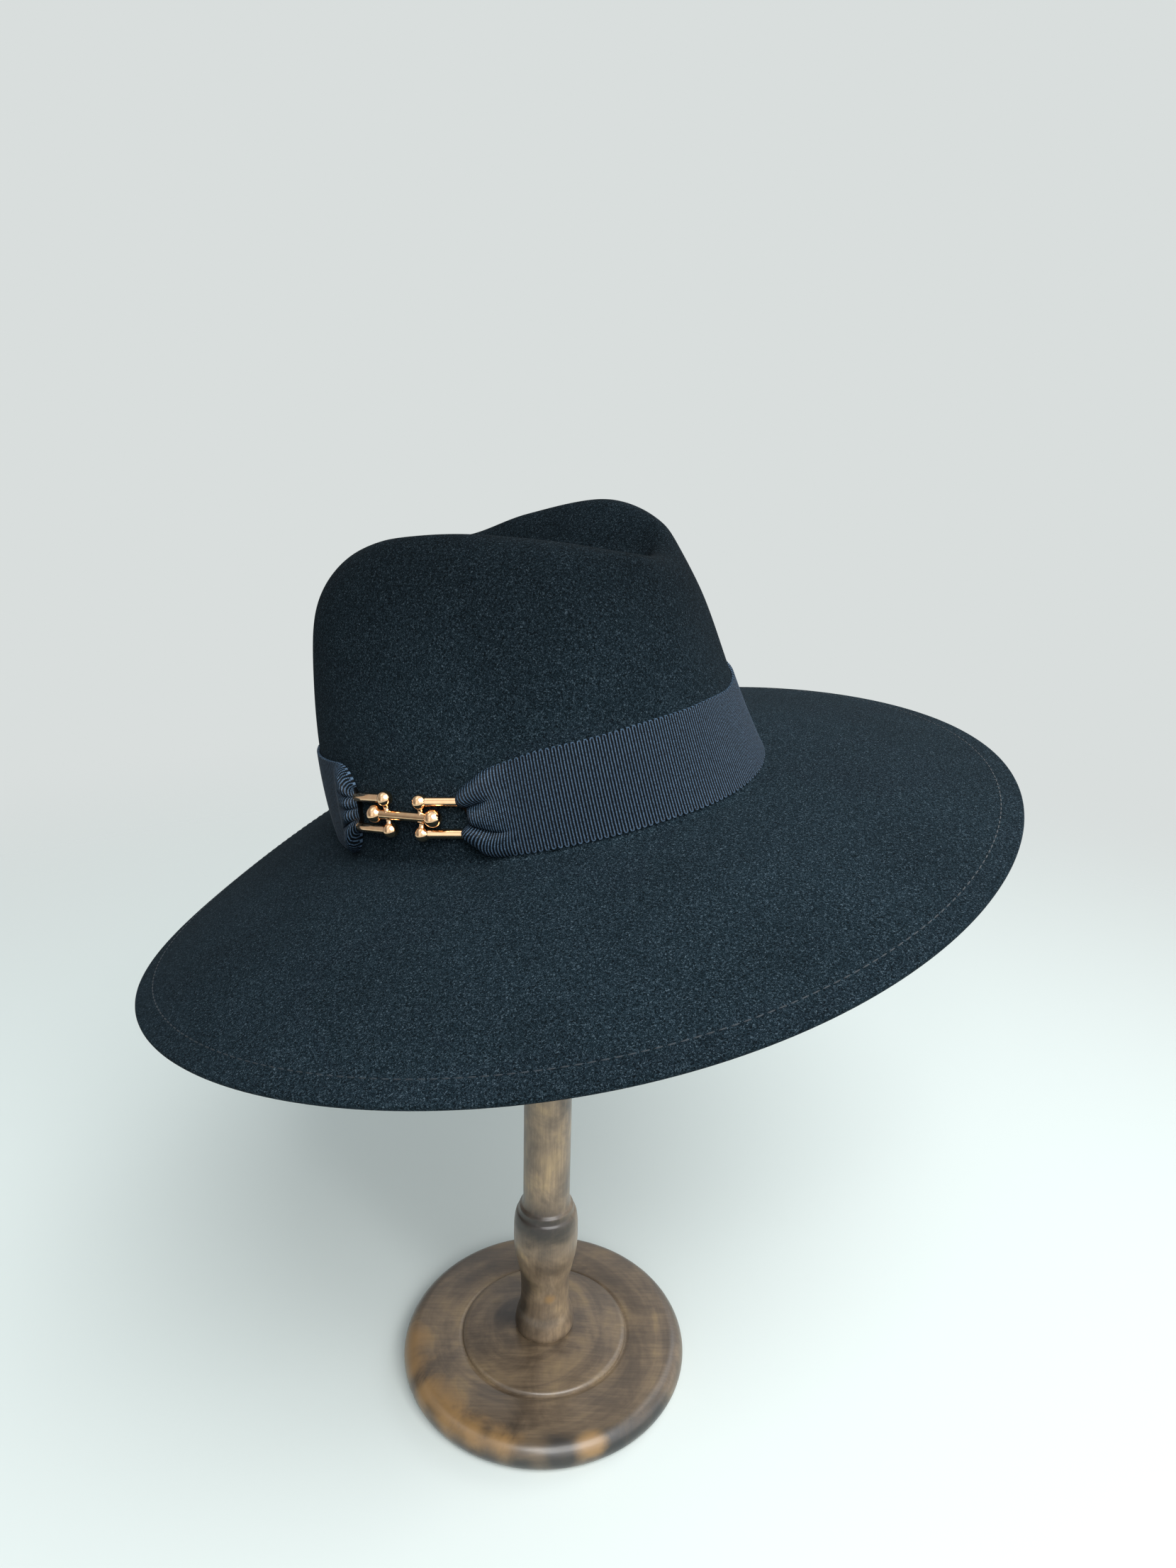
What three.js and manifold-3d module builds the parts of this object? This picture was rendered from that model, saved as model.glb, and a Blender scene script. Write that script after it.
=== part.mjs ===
// A wide-brim felt fedora with a ribbon band and a link clasp, on a turned wooden hat stand.
// Millimetres, +Z up. The origin is the middle of the stand's foot, on the surface it stands on.
// +X runs to the right as the hat is shown, and +Y away from the viewer.
//
// The hat has a frame of its own: +X to its front, +Y to the wearer's left, +Z up the crown,
// with its origin in the middle of the head opening. Angles run round the head oval from the front.

import * as THREE from 'three';
import { mergeVertices } from 'three/addons/utils/BufferGeometryUtils.js';
import Module from 'manifold-3d';

const wasm = await Module();
wasm.setup();

// Clearance between pieces that rest on each other
const SEAT_GAP = 0.3;

// The hat on its stand: the front points right and a little towards the viewer, and rides high
const HAT_PLACE = { x: -3.7, y: 6.6, z: 330.4 };
const HAT_TURN = { yaw: -18.25, noseUp: 12.85, roll: 6.45 };

// Felt: one wall, with its edge turned under the brim and stitched down
const FELT = 2.4;
const HEM = { width: 9, thickness: 3.8, roll: 0.9 };

// Outside of the crown where the brim breaks away, for a 57 cm head
const OVAL = { halfLength: 100.6, halfWidth: 85.6 };
const BREAK = { mid: 0.2, front: 0.3, ends: -2 };
const WALL_TAPER = { front: 0.27, back: -0.09, side: 0.07 };

// The crown, a section every 30 degrees from the front to the back, the same on both sides but for
// the ridge's height, which was creased by hand. Each wall rises from the oval, runs in to the ridge
// and falls into the crease along the middle.
const SECTIONS = [
  { rise: 161, run: 40, pinch: -1.7, ridgeX: 73.6, ridgeY: 0, ridgeLeft: 94.2, ridgeRight: 94.2, creaseX: 59, creaseZ: 89 },
  { rise: 117, run: 54, pinch: 3, ridgeX: 69.7, ridgeY: 22.8, ridgeLeft: 103.6, ridgeRight: 100, creaseX: 56, creaseZ: 89 },
  { rise: 102, run: 91, pinch: 1.2, ridgeX: 44.9, ridgeY: 35.2, ridgeLeft: 115.5, ridgeRight: 111.2, creaseX: 42, creaseZ: 88 },
  { rise: 112, run: 78, pinch: 0, ridgeX: 8.2, ridgeY: 34.8, ridgeLeft: 115.9, ridgeRight: 120.4, creaseX: 14, creaseZ: 90 },
  { rise: 129, run: 70, pinch: 0, ridgeX: -20.8, ridgeY: 33.5, ridgeLeft: 112, ridgeRight: 123.8, creaseX: -14, creaseZ: 98 },
  { rise: 111, run: 109, pinch: -3, ridgeX: -41.2, ridgeY: 19.8, ridgeLeft: 115.5, ridgeRight: 121.5, creaseX: -32, creaseZ: 107 },
  { rise: 126, run: 93, pinch: -0.8, ridgeX: -51.8, ridgeY: 0, ridgeLeft: 116, ridgeRight: 116, creaseX: -40, creaseZ: 111 },
];
const PINCH_BAND = { middle: 0.72, spread: 0.17 };
const CREASE_PULL = { ridge: 1 / 3, floor: 30 };

// The brim falls all round, a little more at the front and back
const BRIM = { width: 106.6, front: 3.5, ends: -7.6, left: 1.5 };
const BRIM_EDGE = { height: -30.4, front: 1.4, ends: -6, triple: 3.1 };
const BRIM_FILLET = { width: 5, depth: 2.5 };
const BRIM_BOW = 0.28;

// Where the felt's rings of points lie, from the crease's floor out to the brim's edge
const SEGMENTS = 56;
const CREASE_STEPS = [1, 0.78, 0.52, 0.28, 0.09];
const WALL_STEPS = [1, 0.95, 0.88, 0.79, 0.67, 0.52, 0.38, 0.25, 0.12, 0];
const FILLET_STEPS = [0.5, 1];
const BRIM_STEPS = [0.17, 0.36, 0.56, 0.76, 0.905, 0.925, 1];

// Grosgrain ribbon, drawn in at both ends round the clasp's shackles
const RIBBON = { height: 39.5, thickness: 1, lift: 1 };
const GATHER = { half: 11, bulk: 7.3, fade: 25, endShare: 0.45, endRound: 5, sideRadius: 99 };
const GATHERS = {
  front: { angle: -90, middle: 21.7, reach: 16, setBack: { depth: 2.6, rise: -0.6, width: 3 }, folds: [
    { rise: 4.2, slope: 0.02, depth: 2.2, width: 1.7, length: 16 },
    { rise: -2.2, slope: -0.45, depth: 2.6, width: 1.7, length: 21 },
  ] },
  rear: { angle: 241.5, middle: 24, reach: 13, setBack: { depth: 1.5, rise: 0, width: 3 }, folds: [
    { rise: 4.5, slope: 0.3, depth: 1.8, width: 1.5, length: 12 },
    { rise: 0, slope: 0, depth: 2.4, width: 1.6, length: 15 },
    { rise: -4.5, slope: -0.4, depth: 1.8, width: 1.5, length: 13 },
  ] },
};
const RIBBON_ROWS = { outer: 12, inner: 3 };
const GATHER_STATIONS = [0, 1, 2.5, 4.5, 7, 10, 13.5, 17.5, 22];

// Clasp: two U-shaped shackles with ball ends, whose pins pass through the bar of a middle link
const CLASP = { angle: -104, height: 22.3, standOff: 4.6, tilt: -4.5 };
const SHACKLE = { pinReach: 8.3, inward: 14, leg: 15.5, half: 6.5, bar: 1.95, ball: 3.15, pin: 0.8 };
const SHACKLE_TILT = { front: 2, rear: 1 };
const MIDDLE_LINK = { shift: -0.5, half: 14.4, tilt: 1, bar: 1.95, ball: 3.6, bore: 1.15 };
const METAL_SIDES = { tube: 8, hairpin: 14, ball: [11, 7] };

// Stand: a round stepped foot, a turned post with one bead, and a plain domed head
const FOOT = { radius: 76, edge: 8, stepRadius: 44.5, stepHeight: 2, crownHeight: 4.5, crownRadius: 17 };
const POST_ROWS = [
  { height: 20.8, radius: 15 }, { height: 23.5, radius: 15.8 }, { height: 30, radius: 15.2 },
  { height: 36, radius: 13.4 }, { height: 42, radius: 12.9 }, { height: 52, radius: 13.1 },
  { height: 62, radius: 14.5 }, { height: 72, radius: 16.4 }, { height: 80, radius: 16.9 },
  { height: 88, radius: 16.7 }, { height: 95, radius: 16 }, { height: 98, radius: 14.6 },
  { height: 101, radius: 12.6 }, { height: 106, radius: 12.1 }, { height: 384, radius: 12.1 },
];
const STAND_HEAD = { top: 419.3, radius: 38, height: 33, rim: 6, neck: 17 };
const TURNED_SIDES = { foot: 36, post: 20, head: 24 };

const V = THREE.Vector3;
const radians = THREE.MathUtils.degToRad;
const smooth = (value) => THREE.MathUtils.smoothstep(value, 0, 1);

// A column of SECTIONS at any angle, on a smooth closed curve through its rows and their mirror images
function column(name, angle, { mirrored = name, sign = 1 } = {}) {
  const rows = SECTIONS.length - 1;
  const place = THREE.MathUtils.euclideanModulo((angle / Math.PI) * rows, 2 * rows);
  const first = Math.floor(place);
  const along = place - first;
  const value = (index) => {
    const row = THREE.MathUtils.euclideanModulo(index, 2 * rows);
    if (row <= rows) return SECTIONS[row][name];
    return SECTIONS[2 * rows - row][mirrored] * sign;
  };
  const [a, b, c, d] = [first - 1, first, first + 1, first + 2].map(value);
  return b + 0.5 * along * (c - a + along * (2 * a - 5 * b + 4 * c - d + along * (3 * (b - c) + d - a)));
}

function breakHeight(angle) {
  return BREAK.mid + BREAK.front * Math.cos(angle) + BREAK.ends * Math.cos(2 * angle);
}

function hermite(start, startPull, end, endPull, t) {
  const t2 = t * t;
  const t3 = t2 * t;
  return new V()
    .addScaledVector(start, 2 * t3 - 3 * t2 + 1)
    .addScaledVector(startPull, t3 - 2 * t2 + t)
    .addScaledVector(end, 3 * t2 - 2 * t3)
    .addScaledVector(endPull, t3 - t2);
}

// Everything that one section of the crown is drawn from
function crownSection(angle) {
  const cos = Math.cos(angle);
  const sin = Math.sin(angle);
  const base = new V(OVAL.halfLength * cos, OVAL.halfWidth * sin, breakHeight(angle));
  const out = new V(cos / OVAL.halfLength, sin / OVAL.halfWidth, 0).normalize();
  const ridge = new V(
    column('ridgeX', angle),
    column('ridgeY', angle, { sign: -1 }),
    column('ridgeLeft', angle, { mirrored: 'ridgeRight' }),
  );
  const taper = (cos > 0 ? WALL_TAPER.front : WALL_TAPER.back) * cos * cos + WALL_TAPER.side * sin * sin;
  const rise = new V(0, 0, 1).addScaledVector(out, -taper).multiplyScalar(column('rise', angle));
  const inward = ridge.clone().sub(base).setZ(0).normalize();
  const floor = new V(column('creaseX', angle), 0, column('creaseZ', angle));
  return { angle, base, out, ridge, rise, inward, floor };
}

function wallPoint(section, t) {
  const { angle, base, out, ridge, rise, inward } = section;
  const run = inward.clone().multiplyScalar(column('run', angle));
  const point = hermite(base, rise, ridge, run, t);
  const nearPinch = Math.exp(-(((t - PINCH_BAND.middle) / PINCH_BAND.spread) ** 2));
  return point.addScaledVector(out, -column('pinch', angle) * nearPinch);
}

function creasePoint(section, t) {
  const { angle, ridge, inward, floor } = section;
  const leave = inward.clone().multiplyScalar(column('run', angle) * CREASE_PULL.ridge);
  const arrive = inward.clone().multiplyScalar(CREASE_PULL.floor);
  return hermite(ridge, leave, floor, arrive, t);
}

function filletPoint(section, t) {
  const turn = (t * Math.PI) / 2;
  const point = section.base.clone().addScaledVector(section.out, BRIM_FILLET.width * (1 - Math.cos(turn)));
  return point.setZ(point.z - BRIM_FILLET.depth * Math.sin(turn));
}

function brimPoint(section, t) {
  const { angle } = section;
  const start = filletPoint(section, 1);
  const width = BRIM.width + BRIM.front * Math.cos(angle) + BRIM.ends * Math.cos(2 * angle)
    + BRIM.left * Math.sin(angle);
  const edgeZ = BRIM_EDGE.height + BRIM_EDGE.front * Math.cos(angle) + BRIM_EDGE.ends * Math.cos(2 * angle)
    + BRIM_EDGE.triple * Math.cos(3 * angle);
  const edge = new V((OVAL.halfLength + width) * Math.cos(angle), (OVAL.halfWidth + width) * Math.sin(angle), edgeZ);
  const fall = (1 - BRIM_BOW) * t + BRIM_BOW * t * t;
  return start.lerp(edge, t).setZ(THREE.MathUtils.lerp(filletPoint(section, 1).z, edgeZ, fall));
}

// Rings of the felt's upper side, each with the felt's thickness under it
function feltRings() {
  const rings = [];
  const add = (steps, place, thickness) => {
    for (const t of steps) rings.push({ t, place, thickness: thickness(t) });
  };
  const hemStart = 1 - HEM.width / BRIM.width;
  add(CREASE_STEPS, creasePoint, () => FELT);
  add(WALL_STEPS, wallPoint, () => FELT);
  add(FILLET_STEPS, filletPoint, () => FELT);
  add(BRIM_STEPS, brimPoint, (t) => (t > hemStart ? HEM.thickness : FELT));
  return rings;
}

// Upward normals of a grid of points that closes round each ring and, at its first ring, along a line
function gridNormals(grid) {
  const count = grid[0].length;
  const normals = grid.map((ring, i) => ring.map((_, k) => {
    const inner = grid[Math.max(i - 1, 0)][k];
    const outer = grid[Math.min(i + 1, grid.length - 1)][k];
    const along = ring[(k + 1) % count].clone().sub(ring[(k + count - 1) % count]);
    return outer.clone().sub(inner).cross(along).normalize();
  }));
  normals[0] = normals[1].map((normal, k) => normal.clone().add(normals[1][(count - k) % count]).normalize());
  return normals;
}

// A closed mesh from rings of points, each joined to the next; the first and last rings may be closed off
function skinRings(rings, { caps = false } = {}) {
  const count = rings[0].length;
  const points = rings.flat();
  const faces = [];
  for (let i = 0; i < rings.length - 1; i++) {
    for (let k = 0; k < count; k++) {
      const a = i * count + k;
      const b = i * count + ((k + 1) % count);
      faces.push(a, a + count, b, b, a + count, b + count);
    }
  }
  if (caps) {
    for (const [ring, first, flip] of [[rings[0], 0, false], [rings.at(-1), (rings.length - 1) * count, true]]) {
      const middle = ring.reduce((sum, p) => sum.add(p), new V()).divideScalar(count);
      points.push(middle);
      for (let k = 0; k < count; k++) {
        const [a, b] = [first + k, first + ((k + 1) % count)];
        faces.push(points.length - 1, flip ? b : a, flip ? a : b);
      }
    }
  }
  const geometry = new THREE.BufferGeometry();
  geometry.setAttribute('position', new THREE.Float32BufferAttribute(points.flatMap((p) => [p.x, p.y, p.z]), 3));
  geometry.setIndex(faces);
  return facingOut(weld(geometry));
}

// One vertex at each place, and no face without an area
function weld(geometry) {
  const bare = geometry.clone();
  bare.deleteAttribute('normal');
  bare.deleteAttribute('uv');
  const welded = mergeVertices(bare, 1e-3);
  const index = welded.index.array;
  const kept = [];
  for (let i = 0; i < index.length; i += 3) {
    const [a, b, c] = [index[i], index[i + 1], index[i + 2]];
    if (a !== b && b !== c && c !== a) kept.push(a, b, c);
  }
  welded.setIndex(kept);
  return welded;
}

function facingOut(geometry) {
  const index = geometry.index.array;
  const place = geometry.attributes.position;
  const [a, b, c] = [new V(), new V(), new V()];
  let volume = 0;
  for (let i = 0; i < index.length; i += 3) {
    a.fromBufferAttribute(place, index[i]);
    b.fromBufferAttribute(place, index[i + 1]);
    c.fromBufferAttribute(place, index[i + 2]);
    volume += a.dot(b.cross(c));
  }
  if (volume < 0) {
    for (let i = 0; i < index.length; i += 3) [index[i], index[i + 1]] = [index[i + 1], index[i]];
  }
  geometry.computeVertexNormals();
  return geometry;
}

function toSolid(geometry) {
  const closed = facingOut(weld(geometry));
  return new wasm.Manifold(new wasm.Mesh({
    numProp: 3,
    vertProperties: new Float32Array(closed.attributes.position.array),
    triVerts: new Uint32Array(closed.index.array),
  }));
}

function fromSolid(solid) {
  const { vertProperties, triVerts } = solid.getMesh();
  const geometry = new THREE.BufferGeometry();
  geometry.setAttribute('position', new THREE.BufferAttribute(new Float32Array(vertProperties), 3));
  geometry.setIndex(new THREE.BufferAttribute(new Uint32Array(triVerts), 1));
  geometry.computeVertexNormals();
  return geometry;
}

function joined(geometries) {
  return fromSolid(geometries.map(toSolid).reduce((sum, next) => sum.add(next)));
}

// The largest body of a solid, without the slivers that a cut can leave
function mainBody(solid) {
  return solid.decompose().reduce((most, body) => (body.volume() > most.volume() ? body : most));
}

// Felt hat: crown and brim are one wall, open underneath
function feltHat() {
  const rings = feltRings();
  const sections = Array.from({ length: SEGMENTS }, (_, k) => crownSection((k / SEGMENTS) * 2 * Math.PI));
  const upper = rings.map((ring) => sections.map((section) => ring.place(section, ring.t)));
  const normals = gridNormals(upper);
  const lower = upper.map((points, i) => points.map((point, k) => (
    point.clone().addScaledVector(normals[i][k], -rings[i].thickness))));
  const roll = upper.at(-1).map((point, k) => (
    point.clone().lerp(lower.at(-1)[k], 0.5).addScaledVector(sections[k].out, HEM.roll)));
  return skinRings([...upper, roll, ...lower.reverse()]);
}

// The point that stands off from the crown's wall at a height and an angle, and the way out there
function offWall(angle, height, standOff) {
  const section = crownSection(angle);
  let [low, high] = [0, PINCH_BAND.middle];
  for (let i = 0; i < 24; i++) {
    const middle = (low + high) / 2;
    if (wallPoint(section, middle).z < height) low = middle;
    else high = middle;
  }
  const point = wallPoint(section, low);
  const up = wallPoint(section, low + 0.02).sub(point);
  const out = section.out.clone().sub(up.clone().multiplyScalar(section.out.dot(up) / up.lengthSq())).normalize();
  return { point: point.addScaledVector(out, standOff), out };
}

// Distances in millimetres along the band from each gathered end
function ribbonDistance(angle, gather) {
  return Math.abs(angle - radians(gather.angle)) * GATHER.sideRadius;
}

// One ring round the ribbon's section: up its outer side and down its inner side. Near a gathered
// end the ribbon narrows and thickens, its folds run in, and the middle is pulled back by the bend.
function ribbonSection(angle) {
  const front = ribbonDistance(angle, GATHERS.front);
  const rear = ribbonDistance(angle, GATHERS.rear);
  const [gather, distance] = front < rear ? [GATHERS.front, front] : [GATHERS.rear, rear];
  const open = Math.sin((Math.min(distance / gather.reach, 1) * Math.PI) / 2);
  const flatLow = breakHeight(angle) + RIBBON.lift;
  const low = THREE.MathUtils.lerp(gather.middle - GATHER.half, flatLow, open);
  const high = THREE.MathUtils.lerp(gather.middle + GATHER.half, flatLow + RIBBON.height, open);
  const ending = Math.sqrt(1 - (1 - Math.min(distance / GATHER.endRound, 1)) ** 2);
  const bulk = GATHER.bulk * (1 - smooth(distance / GATHER.fade)) * THREE.MathUtils.lerp(GATHER.endShare, 1, ending);
  const outerDepth = (across, height) => {
    const round = 1 - Math.abs(2 * across - 1) ** 6;
    const folds = gather.folds.map((fold) => {
      const middle = gather.middle + fold.rise + fold.slope * distance;
      const fade = 1 - smooth(distance / fold.length);
      return fold.depth * fade * Math.exp(-(((height - middle) / fold.width) ** 2));
    });
    return RIBBON.thickness + bulk * round - folds.reduce((sum, fold) => sum + fold, 0) * round;
  };
  const { setBack } = gather;
  const pull = (gather === GATHERS.front ? 1 : -1) * setBack.depth * (1 - smooth(distance / GATHER.fade));
  const angleAt = (height) => (
    angle + (pull * Math.exp(-(((height - gather.middle - setBack.rise) / setBack.width) ** 2))) / GATHER.sideRadius);
  const ring = [];
  for (let i = 0; i <= RIBBON_ROWS.outer; i++) {
    const height = THREE.MathUtils.lerp(low, high, i / RIBBON_ROWS.outer);
    ring.push(offWall(angleAt(height), height, SEAT_GAP + outerDepth(i / RIBBON_ROWS.outer, height)).point);
  }
  for (let i = RIBBON_ROWS.inner; i >= 0; i--) {
    const height = THREE.MathUtils.lerp(low, high, i / RIBBON_ROWS.inner);
    ring.push(offWall(angleAt(height), height, SEAT_GAP).point);
  }
  return ring;
}

// Ribbon band, hollowed where the shackles' bends sit inside its gathered ends
function ribbonBand(shackles) {
  const step = (2 * Math.PI) / SEGMENTS;
  const [start, end] = [radians(GATHERS.front.angle), radians(GATHERS.rear.angle)];
  const fromEnd = GATHER_STATIONS.map((distance) => distance / GATHER.sideRadius);
  const angles = fromEnd.map((reach) => start + reach);
  for (let k = Math.ceil((angles.at(-1) + step / 3) / step); k * step < end - fromEnd.at(-1) - step / 3; k++) {
    angles.push(k * step);
  }
  angles.push(...fromEnd.map((reach) => end - reach).reverse());
  const band = toSolid(skinRings(angles.map(ribbonSection), { caps: true }));
  return fromSolid(mainBody(shackles.reduce((left, pocket) => left.subtract(pocket), band)));
}

// A hairpin: out along one leg, round a half circle and back along the other
class Hairpin extends THREE.Curve {
  constructor(leg, half) {
    super();
    this.leg = leg;
    this.half = half;
  }

  getPoint(t, target = new V()) {
    const { leg, half } = this;
    const bend = Math.PI * half;
    const way = t * (2 * leg + bend);
    if (way < leg) return target.set(way, half, 0);
    if (way > leg + bend) return target.set(2 * leg + bend - way, -half, 0);
    const turn = (way - leg) / half;
    return target.set(leg + half * Math.sin(turn), half * Math.cos(turn), 0);
  }
}

function tubeAlong(curve, radius, steps) {
  const section = new THREE.Shape();
  for (let k = 0; k < METAL_SIDES.tube; k++) {
    const turn = (k / METAL_SIDES.tube) * 2 * Math.PI;
    const [x, y] = [radius * Math.cos(turn), radius * Math.sin(turn)];
    if (k === 0) section.moveTo(x, y);
    else section.lineTo(x, y);
  }
  return new THREE.ExtrudeGeometry(section, { steps, extrudePath: curve, bevelEnabled: false });
}

function ballAt(x, y, z, radius) {
  return new THREE.SphereGeometry(radius, ...METAL_SIDES.ball).translate(x, y, z);
}

// Shackle: its pin lies on Y through its origin and its legs run to +X
function shackle() {
  const { leg, half, bar, ball, pin } = SHACKLE;
  return joined([
    tubeAlong(new Hairpin(leg, half), bar, METAL_SIDES.hairpin),
    new THREE.CylinderGeometry(pin, pin, 2 * half, METAL_SIDES.tube),
    ballAt(0, half, 0, ball),
    ballAt(0, -half, 0, ball),
  ]);
}

// The room that a shackle needs inside a gathered ribbon end
function shacklePocket(placement) {
  const room = tubeAlong(new Hairpin(SHACKLE.leg, SHACKLE.half), SHACKLE.bar + SEAT_GAP, METAL_SIDES.hairpin);
  return toSolid(room.applyMatrix4(placement));
}

// Middle link: one bar along X with a ball at each end, cross-bored for the shackles' pins
function middleLink() {
  const { shift, half, bar, ball, bore } = MIDDLE_LINK;
  const solid = toSolid(joined([
    new THREE.CylinderGeometry(bar, bar, 2 * half, METAL_SIDES.tube).rotateZ(Math.PI / 2),
    ballAt(half, 0, 0, ball),
    ballAt(-half, 0, 0, ball),
  ]));
  const bores = [SHACKLE.pinReach - shift, -SHACKLE.pinReach - shift].map((x) => (
    toSolid(new THREE.CylinderGeometry(bore, bore, 4 * bar, METAL_SIDES.tube).translate(x, 0, 0))));
  return fromSolid(bores.reduce((left, hole) => left.subtract(hole), solid));
}

// Frame of the clasp on the crown: X along the band to the front, Y up the wall, Z out of it
function claspFrame() {
  const { point, out } = offWall(radians(CLASP.angle), CLASP.height, CLASP.standOff);
  const along = new V(0, 0, 1).cross(out).normalize();
  const up = out.clone().cross(along);
  return new THREE.Matrix4().makeBasis(along, up, out).setPosition(point)
    .multiply(new THREE.Matrix4().makeRotationZ(radians(CLASP.tilt)));
}

// A place along the clasp: out by reach, tilted in its plane, then turned about its own pin
function placed(reach, tilt, turn = 0) {
  return new THREE.Matrix4().makeTranslation(reach, 0, 0)
    .multiply(new THREE.Matrix4().makeRotationZ(radians(tilt)))
    .multiply(new THREE.Matrix4().makeRotationY(radians(turn)));
}

function turnedPiece(profile, sides) {
  return facingOut(weld(new THREE.LatheGeometry(profile, sides).rotateX(Math.PI / 2)));
}

// Foot: a disc with a full round edge, and a low stepped crown round the post
function standFoot() {
  const { radius, edge, stepRadius, stepHeight, crownHeight, crownRadius } = FOOT;
  const top = 2 * edge;
  const path = new THREE.Path().moveTo(0, 0).lineTo(radius - edge, 0);
  path.absarc(radius - edge, edge, edge, -Math.PI / 2, Math.PI / 2, false);
  path.lineTo(stepRadius + 0.6, top).lineTo(stepRadius, top - 0.6).lineTo(stepRadius - 0.6, top + stepHeight * 0.7);
  path.lineTo(stepRadius - 2, top + stepHeight).lineTo(crownRadius, top + crownHeight).lineTo(0, top + crownHeight);
  return turnedPiece(path.getPoints(3), TURNED_SIDES.foot);
}

function standPost() {
  const profile = POST_ROWS.map(({ height, radius }) => new THREE.Vector2(radius, height));
  const [bottom, top] = [POST_ROWS[0].height, POST_ROWS.at(-1).height];
  return turnedPiece([new THREE.Vector2(0, bottom), ...profile, new THREE.Vector2(0, top)], TURNED_SIDES.post);
}

// Head: a plain dome that the crown's crease rests on
function standHead() {
  const { top, radius, height, rim, neck } = STAND_HEAD;
  const bottom = POST_ROWS.at(-1).height + SEAT_GAP;
  const rimLow = top - height;
  const path = new THREE.Path().moveTo(0, bottom).lineTo(neck, bottom).lineTo(radius - 2, rimLow);
  path.lineTo(radius, rimLow + 2).lineTo(radius, rimLow + rim);
  path.absellipse(0, rimLow + rim, radius, height - rim, 0, Math.PI / 2, false, 0);
  return turnedPiece(path.getPoints(4), TURNED_SIDES.head);
}

const finishes = {
  felt: { color: '#14191d', roughness: 0.95, metalness: 0 },
  ribbon: { color: '#232a38', roughness: 0.7, metalness: 0 },
  roseGold: { color: '#e3b088', roughness: 0.15, metalness: 1 },
  wood: { color: '#6a5340', roughness: 0.5, metalness: 0 },
};

function piece(name, geometry, finish) {
  const mesh = new THREE.Mesh(geometry, new THREE.MeshStandardMaterial(finishes[finish]));
  mesh.name = name;
  return mesh;
}

const clasp = claspFrame();
const frontShackle = clasp.clone().multiply(placed(SHACKLE.pinReach, SHACKLE_TILT.front, SHACKLE.inward));
const rearShackle = clasp.clone().multiply(placed(-SHACKLE.pinReach, SHACKLE_TILT.rear, 180 - SHACKLE.inward));
const middle = clasp.clone().multiply(placed(MIDDLE_LINK.shift, MIDDLE_LINK.tilt));

const hat = new THREE.Group();
hat.position.set(HAT_PLACE.x, HAT_PLACE.y, HAT_PLACE.z);
hat.rotation.set(radians(HAT_TURN.roll), -radians(HAT_TURN.noseUp), radians(HAT_TURN.yaw), 'ZYX');
hat.add(
  piece('felt_hat', feltHat(), 'felt'),
  piece('ribbon_band', ribbonBand([shacklePocket(frontShackle), shacklePocket(rearShackle)]), 'ribbon'),
  piece('clasp_shackle_front', shackle().applyMatrix4(frontShackle), 'roseGold'),
  piece('clasp_shackle_rear', shackle().applyMatrix4(rearShackle), 'roseGold'),
  piece('clasp_link_middle', middleLink().applyMatrix4(middle), 'roseGold'),
);

const stand = new THREE.Group();
stand.add(
  piece('stand_foot', standFoot(), 'wood'),
  piece('stand_post', standPost(), 'wood'),
  piece('stand_head', standHead(), 'wood'),
);

const hatOnStand = new THREE.Group();
hatOnStand.add(hat, stand);

export default hatOnStand;
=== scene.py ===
"""A wide-brim felt fedora with a gathered ribbon band and a link clasp, on a turned wooden hat stand.

Sizes are in millimetres and become metres when a mesh is placed. The hat has a frame of its own: +X to
its front, +Y to the wearer's left, +Z up the crown, with its origin in the middle of the head opening.
Angles run round the head oval from the front. The clasp has a frame on the crown's wall: X along the
band, Y up the wall and Z out of it.
"""

import logging
import math
from collections.abc import Sequence
from dataclasses import dataclass
from enum import Enum

import bmesh
import bpy
import numpy as np
from bmesh.types import BMEdge, BMesh, BMVert
from bpy.types import Material, Node, NodeSocket, NodeTree, Object
from mathutils import Matrix, Vector


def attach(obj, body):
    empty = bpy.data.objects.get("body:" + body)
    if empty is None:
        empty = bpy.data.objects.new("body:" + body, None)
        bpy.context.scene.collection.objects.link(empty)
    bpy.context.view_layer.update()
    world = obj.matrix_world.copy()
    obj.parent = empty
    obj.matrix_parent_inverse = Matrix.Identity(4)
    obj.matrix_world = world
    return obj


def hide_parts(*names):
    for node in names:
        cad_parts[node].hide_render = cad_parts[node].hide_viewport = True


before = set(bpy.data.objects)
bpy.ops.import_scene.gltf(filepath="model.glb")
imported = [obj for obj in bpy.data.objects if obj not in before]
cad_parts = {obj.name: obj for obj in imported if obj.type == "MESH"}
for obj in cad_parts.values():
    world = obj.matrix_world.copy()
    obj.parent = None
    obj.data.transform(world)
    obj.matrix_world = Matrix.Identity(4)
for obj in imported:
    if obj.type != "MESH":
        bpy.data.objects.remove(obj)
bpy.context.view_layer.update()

log = logging.getLogger("hat_on_stand")

MM = 0.001
SEAT_GAP = 0.3
CREASE_ANGLE = 50.0
FULL_TURN = 2 * math.pi

Stops = tuple[tuple[float, str], ...]
Rows = tuple[tuple[float, float], ...]


def linear(hex_colour: str) -> tuple[float, float, float, float]:
    """Turn an sRGB hex colour into a linear one.

    Args:
        hex_colour: Six hex digits after a hash.

    Returns:
        Linear red, green, blue and an alpha of one.
    """
    parts = [int(hex_colour[i:i + 2], 16) / 255 for i in (1, 3, 5)]
    red, green, blue = (c / 12.92 if c <= 0.04045 else ((c + 0.055) / 1.055) ** 2.4 for c in parts)
    return red, green, blue, 1.0


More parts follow.
